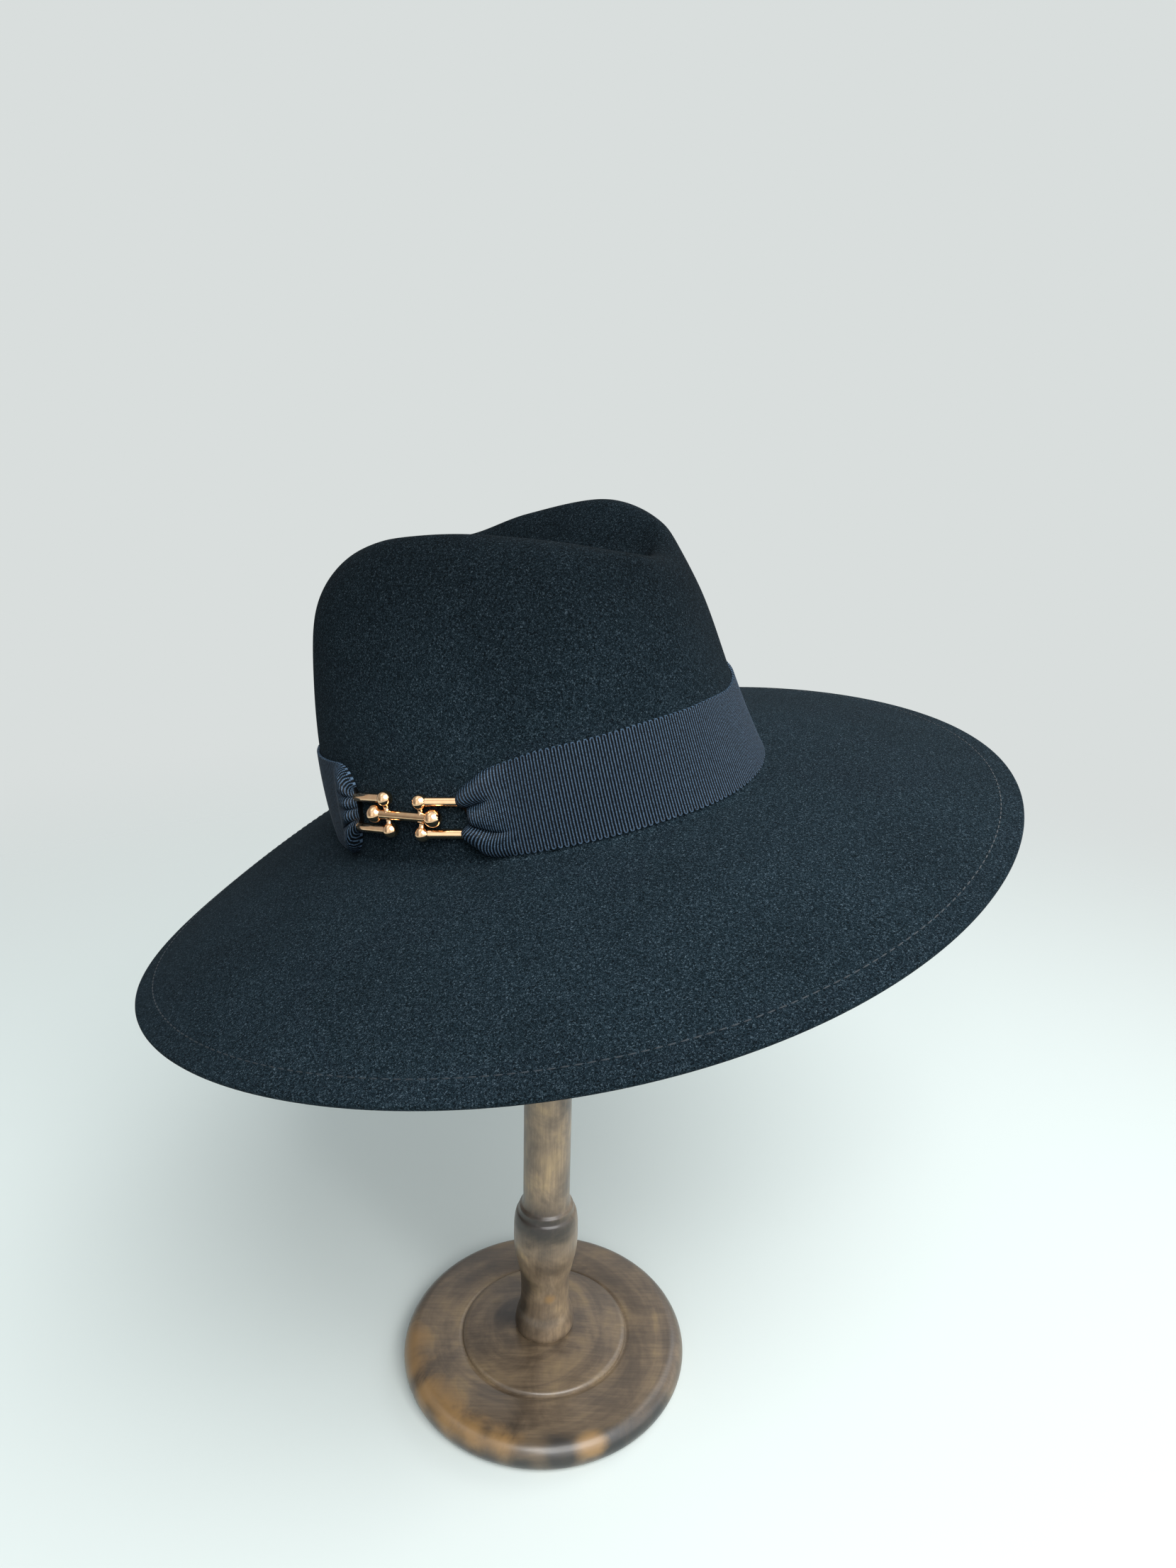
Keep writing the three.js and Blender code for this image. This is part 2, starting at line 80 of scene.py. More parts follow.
def smooth(value: np.ndarray) -> np.ndarray:
    """Ease a value from 0 to 1, level at both ends."""
    share = np.clip(value, 0.0, 1.0)
    return share * share * (3 - 2 * share)


def mix(start: np.ndarray, end: np.ndarray, share: np.ndarray) -> np.ndarray:
    """Blend from start at a share of 0 to end at 1."""
    return start + (end - start) * share


def unit(vectors: np.ndarray) -> np.ndarray:
    """Scale vectors to a length of one."""
    return vectors / np.linalg.norm(vectors, axis=-1, keepdims=True)


def points_of(x: np.ndarray, y: np.ndarray, z: np.ndarray) -> np.ndarray:
    """Stack coordinates that broadcast together into points."""
    return np.stack(np.broadcast_arrays(x, y, z), axis=-1).astype(float)


def curve(points: Sequence[tuple[float, float]], at: np.ndarray) -> np.ndarray:
    """Read a smooth curve that passes through a few points and is level past its ends.

    Args:
        points: Places in rising order and the value at each.
        at: Where to read the curve.

    Returns:
        The curve's values.
    """
    places, values = np.array(points, dtype=float).T
    steps = np.diff(values) / np.diff(places)
    slopes = np.zeros(len(values))
    rising = steps[:-1] * steps[1:] > 0
    slopes[1:-1][rising] = 2 * steps[:-1][rising] * steps[1:][rising] / (steps[:-1] + steps[1:])[rising]
    at = np.clip(at, places[0], places[-1])
    first = np.clip(np.searchsorted(places, at, side="right") - 1, 0, len(places) - 2)
    span = places[first + 1] - places[first]
    t = (at - places[first]) / span
    square, cube = t * t, t * t * t
    return (values[first] * (2 * cube - 3 * square + 1) + slopes[first] * span * (cube - 2 * square + t)
            + values[first + 1] * (3 * square - 2 * cube) + slopes[first + 1] * span * (cube - square))


def way_along(line: np.ndarray) -> np.ndarray:
    """Give how far each point of a line lies along it."""
    return np.concatenate(([0.0], np.cumsum(np.linalg.norm(np.diff(line, axis=0), axis=1))))


def fill_inputs(node: Node, **values: object) -> None:
    """Link or set a node's inputs.

    Args:
        node: The node.
        values: A socket or a value for each input, by its name with underscores for spaces, or as in0, in1.
    """
    for name, value in values.items():
        slot = node.inputs[int(name[2:]) if name[2:].isdigit() else name.replace("_", " ")]
        if isinstance(value, NodeSocket):
            node.id_data.links.new(value, slot)
        else:
            slot.default_value = value


def add_node(tree: NodeTree, kind: str, out: int | str = 0, stops: Stops = (),
             **values: object) -> NodeSocket:
    """Add a node with its settings and links.

    Args:
        tree: The node tree that gets the node.
        kind: The node's type, without ShaderNode before it.
        out: The output that is wanted, by number or name.
        stops: Places and hex colours, for a colour ramp.
        values: Settings in small letters, and inputs by their names or as in0, in1.

    Returns:
        The wanted output.
    """
    node = tree.nodes.new(f"ShaderNode{kind}")
    settings = {name: value for name, value in values.items() if name.islower() and not name[2:].isdigit()}
    for name, value in settings.items():
        setattr(node, name, value)
    fill_inputs(node, **{name: value for name, value in values.items() if name not in settings})
    if stops:
        elements = node.color_ramp.elements
        while len(elements) < len(stops):
            elements.new(0.5)
        for element, (place, colour) in zip(elements, stops):
            element.position = place
            element.color = linear(colour)
    return node.outputs[out]


def new_material(name: str) -> tuple[Material, NodeTree, Node]:
    """Make a material with an empty principled shader.

    Args:
        name: The material's name.

    Returns:
        The material, its node tree and its shader.
    """
    material = bpy.data.materials.new(name)
    material.use_nodes = True
    tree = material.node_tree
    return material, tree, tree.nodes["Principled BSDF"]


def grid_mesh(places: np.ndarray, flat: np.ndarray | None = None) -> BMesh:
    """Make an operator's grid and move its vertices to the points of a surface.

    Args:
        places: Points by row and column.
        flat: Width and length on the cloth for each point, for a UV map.

    Returns:
        The mesh, not yet merged at its seams.
    """
    rows, columns = places.shape[:2]
    mesh = bmesh.new()
    bmesh.ops.create_grid(mesh, x_segments=columns - 1, y_segments=rows - 1, size=1.0)
    spots = []
    for vert in mesh.verts:
        column = round((vert.co.x + 1) / 2 * (columns - 1))
        row = round((vert.co.y + 1) / 2 * (rows - 1))
        spots.append((row, column))
    mesh.verts.index_update()
    if flat is not None:
        layer = mesh.loops.layers.uv.new("cloth")
        for face in mesh.faces:
            for loop in face.loops:
                loop[layer].uv = flat[spots[loop.vert.index]]
    for vert, spot in zip(mesh.verts, spots):
        vert.co = places[spot]
    return mesh


def merge(mesh: BMesh, distance: float = 0.002) -> None:
    """Join vertices that lie within a distance of each other."""
    bmesh.ops.remove_doubles(mesh, verts=mesh.verts, dist=distance)


def close_ends(mesh: BMesh) -> None:
    """Fill the holes that a mesh still has."""
    bmesh.ops.holes_fill(mesh, edges=[edge for edge in mesh.edges if edge.is_boundary], sides=0)


def turn_chain(mesh: BMesh, points: Sequence[Vector], centre: Vector, axis: Vector, sides: int) -> None:
    """Turn a chain of points about an axis and add the skin to a mesh.

    Args:
        mesh: The mesh that gets the skin.
        points: The chain.
        centre: A point of the axis.
        axis: The way of the axis.
        sides: Number of steps in the turn.
    """
    verts = [mesh.verts.new(point) for point in points]
    edges = [mesh.edges.new(pair) for pair in zip(verts, verts[1:])]
    bmesh.ops.spin(mesh, geom=verts + edges, cent=centre, axis=axis, dvec=(0, 0, 0), angle=FULL_TURN,
                   steps=sides, use_merge=True, use_duplicate=False)


def finish_piece(name: str, mesh: BMesh, placement: Matrix, material: Material) -> Object:
    """Turn a mesh in millimetres into a smooth piece in metres, with its place in its mesh.

    Args:
        name: The piece's name.
        mesh: The mesh in millimetres, which is freed.
        placement: The frame that the mesh is drawn in, in millimetres.
        material: The piece's finish.

    Returns:
        The piece, at the origin.
    """
    bmesh.ops.recalc_face_normals(mesh, faces=mesh.faces)
    bmesh.ops.transform(mesh, matrix=Matrix.Scale(MM, 4) @ placement, verts=mesh.verts)
    for face in mesh.faces:
        face.smooth = True
    for edge in mesh.edges:
        edge.smooth = edge.calc_face_angle(0.0) < math.radians(CREASE_ANGLE)
    data = bpy.data.meshes.new(name)
    mesh.to_mesh(data)
    mesh.free()
    piece = bpy.data.objects.new(name, data)
    bpy.context.scene.collection.objects.link(piece)
    data.materials.append(material)
    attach(piece, "root")
    log.info("%s: %d faces", name, len(data.polygons))
    return piece


@dataclass(frozen=True)
class WoolFelt:
    """Black wool felt, milled and brushed: matt, with lighter fibre ends and lint that catch the light.

    Single fibres are too fine to show, so the pile is drawn in coarser tufts. The crown is painted darker
    towards its top, as painted shade.
    """

    # Tufts of pile, coarser than the real fibres so that they show, and broad uneven wear by hands
    pile_mm: float = 0.6
    cloud_mm: float = 42.0
    # Heights above the floor between which the crown is painted darker, as painted shade
    painted_shade_from: float = 345.0
    painted_shade_to: float = 445.0
    painted_shade_factor: float = 0.46
    fibres: Stops = ((0.36, "#060b0e"), (0.48, "#0f1a20"), (0.58, "#202d35"), (0.7, "#4e5c65"))

    def material(self) -> Material:
        """Make the felt's finish.

        Returns:
            The material.
        """
        material, tree, shader = new_material("Milled wool felt, brushed")
        place = add_node(tree, "TexCoord", out="Object")
        pile = add_node(tree, "TexNoise", Vector=place, Scale=1 / (self.pile_mm * MM), Detail=3.0,
                        Roughness=0.62, Distortion=1.2)
        clouds = add_node(tree, "TexNoise", Vector=place, Scale=1 / (self.cloud_mm * MM), Detail=3.0)
        grain = add_node(tree, "ValToRGB", in0=pile, stops=self.fibres)
        height = add_node(tree, "SeparateXYZ", out="Z", Vector=place)
        # Painted shade: the felt's colour is darkened towards the top of the crown
        crown_painted_shade = add_node(tree, "MapRange", interpolation_type="SMOOTHSTEP", Value=height,
                       From_Min=self.painted_shade_from * MM, From_Max=self.painted_shade_to * MM, To_Min=1.0,
                       To_Max=self.painted_shade_factor)
        worn = add_node(tree, "MapRange", Value=clouds, From_Min=0.3, From_Max=0.7, To_Min=0.9, To_Max=1.12)
        shade = add_node(tree, "Math", operation="MULTIPLY", in0=worn, in1=crown_painted_shade)
        colour = add_node(tree, "Mix", out=2, data_type="RGBA", blend_type="MULTIPLY", in0=1.0, in6=grain,
                          in7=shade)
        bump = add_node(tree, "Bump", Strength=0.8, Distance=0.25 * MM, Height=pile)
        fill_inputs(shader, Base_Color=colour, Normal=bump, Roughness=0.95, Specular_IOR_Level=0.05)
        return material


@dataclass(frozen=True)
class SewingThread:
    """Black polyester thread, twisted: its turns shine a little on the felt."""

    # A turn of the twist, drawn twice as long as it is so that it shows
    twist_mm: float = 0.5
    tones: Stops = ((0.3, "#0c1317"), (0.7, "#263139"))

    def material(self) -> Material:
        """Make the stitches' finish.

        Returns:
            The material.
        """
        material, tree, shader = new_material("Polyester thread, twisted")
        place = add_node(tree, "TexCoord", out="Object")
        twist = add_node(tree, "TexNoise", Vector=place, Scale=1 / (self.twist_mm * MM), Detail=2.0)
        colour = add_node(tree, "ValToRGB", in0=twist, stops=self.tones)
        fill_inputs(shader, Base_Color=colour, Roughness=0.5)
        return material


@dataclass(frozen=True)
class Grosgrain:
    """Woven navy-black grosgrain: round ribs, lighter on top as a painted highlight and darker in the grooves
    between them as painted shade.

    Each rib turns back at the ribbon's edges in a loop to the next one. The threads that cross the ribs are
    drawn a little coarser than they are, so that they show.
    """

    rib_mm: float
    width_mm: float
    # Threads across the ribs, drawn coarser so that they show, and uneven places of the yarn
    thread_mm: float = 0.42
    slub_mm: float = 5 / 7
    # Colours from the grooves' painted shade up to the rib tops' painted highlight
    tones: Stops = ((0.3, "#030608"), (0.55, "#0f1821"), (0.78, "#263645"), (1.0, "#4c6176"))

    def material(self) -> Material:
        """Make the ribbon's finish, on a UV map in millimetres along and across the ribbon.

        Returns:
            The material.
        """
        material, tree, shader = new_material("Grosgrain, woven viscose")
        cloth = add_node(tree, "UVMap", uv_map="cloth")
        parts = add_node(tree, "SeparateXYZ", Vector=cloth).node.outputs
        pair = add_node(tree, "Math", operation="FLOORED_MODULO", in0=parts["X"], in1=2 * self.rib_mm)
        beside = add_node(tree, "Math", operation="SUBTRACT", in0=pair, in1=self.rib_mm)
        edge = add_node(tree, "Math", operation="PINGPONG", in0=parts["Y"], in1=self.width_mm / 2)
        turn_back = add_node(tree, "Math", operation="SUBTRACT", in0=edge, in1=self.rib_mm / 2)
        past = add_node(tree, "Math", operation="MINIMUM", in0=turn_back, in1=0.0)
        spot = add_node(tree, "CombineXYZ", X=beside, Y=past)
        around = add_node(tree, "VectorMath", out="Value", operation="LENGTH", in0=spot)
        off_rib = add_node(tree, "Math", operation="SUBTRACT", in0=around, in1=self.rib_mm / 2)
        rib_turn = add_node(tree, "Math", operation="MULTIPLY", in0=off_rib, in1=FULL_TURN / self.rib_mm)
        painted_rib_light = add_node(tree, "Math", operation="COSINE", in0=rib_turn)
        thread_turn = add_node(tree, "Math", operation="MULTIPLY", in0=parts["Y"],
                               in1=FULL_TURN / self.thread_mm)
        thread = add_node(tree, "Math", operation="COSINE", in0=thread_turn)
        slub = add_node(tree, "TexNoise", Vector=cloth, Scale=1 / self.slub_mm, Detail=3.0)
        weave = add_node(tree, "Math", operation="MULTIPLY_ADD", in0=thread, in1=0.16, in2=slub)
        # Painted highlight and shade: each rib is coloured lighter on its top and darker in its grooves, over
        # real thread and slub tone
        height = add_node(tree, "Math", operation="MULTIPLY_ADD", in0=painted_rib_light, in1=0.42, in2=weave)
        colour = add_node(tree, "ValToRGB", in0=height, stops=self.tones)
        bump = add_node(tree, "Bump", Strength=0.5, Distance=0.12 * MM, Height=weave)
        fill_inputs(shader, Base_Color=colour, Normal=bump, Roughness=0.55, Specular_IOR_Level=0.12)
        return material


@dataclass(frozen=True)
class RoseGold:
    """Rose-gold plated zinc, tumbled and polished: a warm pink mirror with faint rubbing."""

    # Faint rubbed places that soften the mirror here and there
    rub_mm: float = 3.0
    tones: Stops = ((0.3, "#eebf92"), (0.7, "#f8d3a8"))

    def material(self) -> Material:
        """Make the clasp's finish.

        Returns:
            The material.
        """
        material, tree, shader = new_material("Rose-gold plate, polished")
        place = add_node(tree, "TexCoord", out="Object")
        rub = add_node(tree, "TexNoise", Vector=place, Scale=1 / (self.rub_mm * MM), Detail=5.0)
        rough = add_node(tree, "MapRange", Value=rub, From_Min=0.3, From_Max=0.7, To_Min=0.07, To_Max=0.17)
        colour = add_node(tree, "ValToRGB", in0=rub, stops=self.tones)
        fill_inputs(shader, Base_Color=colour, Roughness=rough, Metallic=1.0)
        return material


class Grain(Enum):
    """The way that the fibres run through a turned piece, as the squeeze of a pattern along X, Y and Z."""

    UPRIGHT = (1.0, 1.0, 0.06)
    ACROSS = (0.06, 1.0, 1.0)


@dataclass(frozen=True)
class Patch:
    """A place on the stand where the finish has worn through or taken a stain, or where shade is painted, in
    millimetres.
    """

    place: tuple[float, float, float]
    reach: float
    colour: str


@dataclass(frozen=True)
class TurnedWood:
    """Turned hardwood, stained and lacquered: satin, streaked by the tool, with warm wear, dark stains and
    patches of painted shade.

    The fibres are drawn coarser than real pores, so that they show. The clouds also fray the patches' edges.
    """

    grain: Grain
    patches: tuple[Patch, ...] = ()
    shade: float = 1.0
    # Fibres along the grain, streaks that the tool left round the axis, and clouds of uneven stain
    fibre_mm: float = 1.3
    streak_mm: float = 11.0
    cloud_mm: float = 26.0
    fray: float = 3.0
    cover: float = 0.88
    tones: Stops = ((0.34, "#4b4034"), (0.46, "#6b5b49"), (0.54, "#837059"), (0.64, "#9e8765"))

    def material(self) -> Material:
        """Make the stand's finish.

        Returns:
            The material.
        """
        name = f"Turned hardwood, stained and lacquered, {self.grain.name.lower()}"
        material, tree, shader = new_material(name)
        place = add_node(tree, "TexCoord", out="Object")
        along = add_node(tree, "Mapping", Vector=place, Scale=self.grain.value)
        fibre = add_node(tree, "TexNoise", Vector=along, Scale=1 / (self.fibre_mm * MM), Detail=4.0,
                         Roughness=0.6, Distortion=0.3)
        cloud = add_node(tree, "TexNoise", Vector=place, Scale=1 / (self.cloud_mm * MM), Detail=5.0,
                         Roughness=0.6, Distortion=0.6)
        streak = add_node(tree, "TexNoise", Vector=self.turning(tree, place), Scale=1.0, Detail=4.0,
                          Roughness=0.55, Distortion=0.5)
        half = add_node(tree, "Math", operation="MULTIPLY", in0=streak, in1=0.5)
        blend = add_node(tree, "Math", operation="MULTIPLY_ADD", in0=cloud, in1=0.5, in2=half)
        stain = add_node(tree, "ValToRGB", in0=blend, stops=self.tones)
        fine = add_node(tree, "MapRange", Value=fibre, From_Min=0.3, From_Max=0.7, To_Min=0.8 * self.shade,
                        To_Max=1.2 * self.shade)
        finish = add_node(tree, "Mix", out=2, data_type="RGBA", blend_type="MULTIPLY", in0=1.0, in6=stain,
                          in7=fine)
        for patch in self.patches:
            finish = self.patched(tree, place, cloud, finish, patch)
        bump = add_node(tree, "Bump", Strength=0.18, Distance=0.15 * MM, Height=fibre)
        rough = add_node(tree, "MapRange", Value=cloud, From_Min=0.3, From_Max=0.7, To_Min=0.3, To_Max=0.5)
        fill_inputs(shader, Base_Color=finish, Normal=bump, Roughness=rough, IOR=1.5, Coat_Weight=0.35,
                    Coat_Roughness=0.22)
        return material

    def turning(self, tree: NodeTree, place: NodeSocket) -> NodeSocket:
        """Give a pattern's place that stays the same round the axis but for long streaks.

        Args:
            tree: The node tree.
            place: The place on the piece.

        Returns:
            A place by the way out from the axis, the radius and the height.
        """
        parts = add_node(tree, "SeparateXYZ", Vector=place).node.outputs
        level = add_node(tree, "CombineXYZ", X=parts["X"], Y=parts["Y"])
        radius = add_node(tree, "VectorMath", out="Value", operation="LENGTH", in0=level)
        way = add_node(tree, "VectorMath", operation="NORMALIZE", in0=level)
        across = add_node(tree, "Math", operation="MULTIPLY", in0=radius, in1=1 / (self.streak_mm * MM))
        upright = add_node(tree, "Math", operation="MULTIPLY", in0=parts["Z"],
                           in1=1 / (self.streak_mm * 2 * MM))
        lift = add_node(tree, "CombineXYZ", X=across, Z=upright)
        return add_node(tree, "VectorMath", operation="ADD", in0=way, in1=lift)

    def patched(self, tree: NodeTree, place: NodeSocket, cloud: NodeSocket, under: NodeSocket,
                patch: Patch) -> NodeSocket:
        """Lay a patch of wear, stain or painted shade with a ragged edge over the finish.

        Args:
            tree: The node tree.
            place: The place on the piece.
            cloud: The noise that frays the patch's edge.
            under: The colour under the patch.
            patch: The patch.

        Returns:
            The colour with the patch.
        """
        middle = tuple(part * MM for part in patch.place)
        off = add_node(tree, "VectorMath", out="Value", operation="DISTANCE", in0=place, in1=middle)
        share = add_node(tree, "Math", operation="MULTIPLY", in0=off, in1=1 / (patch.reach * MM))
        frayed = add_node(tree, "Math", operation="MULTIPLY_ADD", in0=cloud, in1=-self.fray, in2=share)
        cover = add_node(tree, "MapRange", interpolation_type="SMOOTHSTEP", Value=frayed, From_Min=-1.3,
                         From_Max=0.0, To_Min=self.cover, To_Max=0.0)
        return add_node(tree, "Mix", out=2, data_type="RGBA", in0=cover, in6=under, in7=linear(patch.colour))


@dataclass(frozen=True)
class Section:
    """A section of the crown: its wall rises from the oval, runs in to the ridge and falls to the crease."""

    rise: float
    run: float
    pinch: float
    ridge_x: float
    ridge_y: float
    ridge_left: float
    ridge_right: float
    crease_x: float
    crease_z: float


# A section every 30 degrees from the front to the back
SECTIONS = (
    Section(161, 40, -1.7, 73.6, 0, 94.2, 94.2, 59, 89),
    Section(117, 54, 3, 69.7, 22.8, 103.6, 100, 56, 89),
    Section(102, 91, 1.2, 44.9, 35.2, 115.5, 111.2, 42, 88),
    Section(112, 78, 0, 8.2, 34.8, 115.9, 120.4, 14, 90),
    Section(129, 70, 0, -20.8, 33.5, 112, 123.8, -14, 98),
    Section(111, 109, -3, -41.2, 19.8, 115.5, 121.5, -32, 107),
    Section(126, 93, -0.8, -51.8, 0, 116, 116, -40, 111),
)


@dataclass(frozen=True)
class HatForm:
    """The outside of the blocked crown and brim, as surfaces over the angle and a step from 0 to 1."""

    half_length: float = 100.6
    half_width: float = 85.6
    break_mid: float = 0.2
    break_front: float = 0.3
    break_ends: float = -2.0
    front_dip: float = 2.0
    taper_front: float = 0.27
    taper_back: float = -0.09
    taper_side: float = 0.07
    pinch_middle: float = 0.72
    pinch_spread: float = 0.17
    crease_leave: float = 1 / 3
    crease_floor: float = 30.0
    fillet_width: float = 5.0
    fillet_depth: float = 2.5
    brim_width: float = 106.6
    brim_front: float = 3.5
    brim_ends: float = -7.6
    brim_left: float = 1.5
    edge_height: float = -30.4
    edge_front: float = 1.4
    edge_ends: float = -6.0
    edge_triple: float = 3.1
    brim_bow: float = 0.28
    yaw: float = -18.25
    nose_up: float = 12.85
    roll: float = 6.45
    place: tuple[float, float, float] = (-3.7, 6.6, 330.4)
    halvings: int = 24
    slope_step: float = 0.02

    def placement(self) -> Matrix:
        """Give the hat's frame on its stand.

        Returns:
            The frame, in millimetres.
        """
        turns = (Matrix.Rotation(math.radians(self.yaw), 4, "Z"),
                 Matrix.Rotation(-math.radians(self.nose_up), 4, "Y"),
                 Matrix.Rotation(math.radians(self.roll), 4, "X"))
        return Matrix.Translation(self.place) @ turns[0] @ turns[1] @ turns[2]

    def column(self, name: str, angle: np.ndarray, mirrored: str = "", sign: float = 1.0) -> np.ndarray:
        """Read a column of the sections at any angle, on a smooth closed curve through both sides' rows.

        Args:
            name: The section's field.
            angle: Angles in radians.
            mirrored: The field that the other side uses, if it is another one.
            sign: Sign of the other side's values.

        Returns:
            A value for each angle.
        """
        rows = len(SECTIONS) - 1
        left = [getattr(section, name) for section in SECTIONS]
        right = [getattr(section, mirrored or name) * sign for section in SECTIONS]
        values = np.array(left + right[-2:0:-1], dtype=float)
        place = np.mod(np.asarray(angle) / math.pi * rows, 2 * rows)
        first = np.floor(place).astype(int)
        along = place - first
        a, b, c, d = (values[(first + step) % (2 * rows)] for step in (-1, 0, 1, 2))
        return b + 0.5 * along * (c - a + along * (2 * a - 5 * b + 4 * c - d + along * (3 * (b - c) + d - a)))

    def break_height(self, angle: np.ndarray) -> np.ndarray:
        """Give the height where the brim breaks away from the crown.

        Args:
            angle: Angles round the hat.

        Returns:
            The heights.
        """
        cos = np.cos(angle)
        dip = self.front_dip * smooth((cos - 0.7) / 0.3)
        return self.break_mid + self.break_front * cos + self.break_ends * np.cos(2 * angle) - dip

    def base(self, angle: np.ndarray) -> tuple[np.ndarray, np.ndarray]:
        """Give the head oval.

        Args:
            angle: Angles round the hat.

        Returns:
            The oval's points, and the level way out at each.
        """
        cos, sin = np.cos(angle), np.sin(angle)
        oval = points_of(self.half_length * cos, self.half_width * sin, self.break_height(angle))
        return oval, unit(points_of(cos / self.half_length, sin / self.half_width, 0.0))

    def ridge(self, angle: np.ndarray) -> np.ndarray:
        """Give the ridge's points."""
        return points_of(self.column("ridge_x", angle), self.column("ridge_y", angle, sign=-1.0),
                         self.column("ridge_left", angle, mirrored="ridge_right"))

    def inward(self, angle: np.ndarray) -> np.ndarray:
        """Give the level way in, from the oval to the ridge.

        Args:
            angle: Angles round the hat.

        Returns:
            The ways in.
        """
        way = self.ridge(angle) - self.base(angle)[0]
        way[..., 2] = 0.0
        return unit(way)

    @staticmethod
    def hermite(start: np.ndarray, leave: np.ndarray, end: np.ndarray, arrive: np.ndarray,
                t: np.ndarray) -> np.ndarray:
        """Run a curve from start to end with given pulls.

        Args:
            start: Where the curve starts.
            leave: Its pull at the start.
            end: Where it ends.
            arrive: Its pull at the end.
            t: Steps along it, from 0 to 1.

        Returns:
            The curve's points.
        """
        t = np.asarray(t)[..., None]
        square, cube = t * t, t * t * t
        return (start * (2 * cube - 3 * square + 1) + leave * (cube - 2 * square + t)
                + end * (3 * square - 2 * cube) + arrive * (cube - square))

    def wall(self, angle: np.ndarray, t: np.ndarray) -> np.ndarray:
        """Give points of the crown's wall.

        Args:
            angle: Angles round the hat.
            t: Steps from the oval at 0 to the ridge at 1.

        Returns:
            The points.
        """
        angle, t = np.broadcast_arrays(angle, t)
        cos, sin = np.cos(angle), np.sin(angle)
        base, out = self.base(angle)
        taper = np.where(cos > 0, self.taper_front, self.taper_back) * cos**2 + self.taper_side * sin**2
        leave = (np.array([0.0, 0.0, 1.0]) - out * taper[..., None]) * self.column("rise", angle)[..., None]
        arrive = self.inward(angle) * self.column("run", angle)[..., None]
        near_pinch = np.exp(-(((t - self.pinch_middle) / self.pinch_spread) ** 2))
        push = self.column("pinch", angle) * near_pinch
        return self.hermite(base, leave, self.ridge(angle), arrive, t) - out * push[..., None]

    def crease(self, angle: np.ndarray, t: np.ndarray) -> np.ndarray:
        """Give points of the crease in the crown.

        Args:
            angle: Angles round the hat.
            t: Steps from the ridge at 0 to the crease's floor at 1.

        Returns:
            The points.
        """
        angle, t = np.broadcast_arrays(angle, t)
        inward = self.inward(angle)
        leave = inward * (self.column("run", angle) * self.crease_leave)[..., None]
        floor = points_of(self.column("crease_x", angle), 0.0, self.column("crease_z", angle))
        return self.hermite(self.ridge(angle), leave, floor, inward * self.crease_floor, t)

    def fillet(self, angle: np.ndarray, t: np.ndarray) -> np.ndarray:
        """Give points of the curve where the crown turns out into the brim.

        Args:
            angle: Angles round the hat.
            t: Steps from the crown at 0 to the brim at 1.

        Returns:
            The points.
        """
        angle, t = np.broadcast_arrays(angle, t)
        base, out = self.base(angle)
        turn = t * math.pi / 2
        point = base + out * (self.fillet_width * (1 - np.cos(turn)))[..., None]
        point[..., 2] -= self.fillet_depth * np.sin(turn)
        return point

    def brim(self, angle: np.ndarray, t: np.ndarray) -> np.ndarray:
        """Give points of the brim.

        Args:
            angle: Angles round the hat.
            t: Steps from the fillet at 0 to the edge at 1.

        Returns:
            The points.
        """
        angle, t = np.broadcast_arrays(angle, t)
        start = self.fillet(angle, np.ones_like(t))
        width = (self.brim_width + self.brim_front * np.cos(angle) + self.brim_ends * np.cos(2 * angle)
                 + self.brim_left * np.sin(angle))
        edge_z = (self.edge_height + self.edge_front * np.cos(angle) + self.edge_ends * np.cos(2 * angle)
                  + self.edge_triple * np.cos(3 * angle))
        edge = points_of((self.half_length + width) * np.cos(angle),
                         (self.half_width + width) * np.sin(angle), edge_z)
        point = mix(start, edge, t[..., None])
        point[..., 2] = mix(start[..., 2], edge_z, (1 - self.brim_bow) * t + self.brim_bow * t * t)
        return point

    def off_wall(self, angle: np.ndarray, height: np.ndarray,
                 stand_off: np.ndarray) -> tuple[np.ndarray, np.ndarray]:
        """Find the points that stand off from the crown's wall at a height.

        Args:
            angle: Angles in radians.
            height: Heights up the crown.
            stand_off: Distances out from the wall.

        Returns:
            The points, and the way out of the wall at each.
        """
        angle, height, stand_off = np.broadcast_arrays(angle, height, stand_off)
        low = np.zeros(angle.shape)
        high = np.full(angle.shape, self.pinch_middle)
        for _ in range(self.halvings):
            middle = (low + high) / 2
            below = self.wall(angle, middle)[..., 2] < height
            low = np.where(below, middle, low)
            high = np.where(below, high, middle)
        point = self.wall(angle, low)
        up = self.wall(angle, low + self.slope_step) - point
        out = self.base(angle)[1]
        lean = np.sum(out * up, axis=-1, keepdims=True) / np.sum(up * up, axis=-1, keepdims=True)
        out = unit(out - up * lean)
        return point + out * stand_off[..., None], out


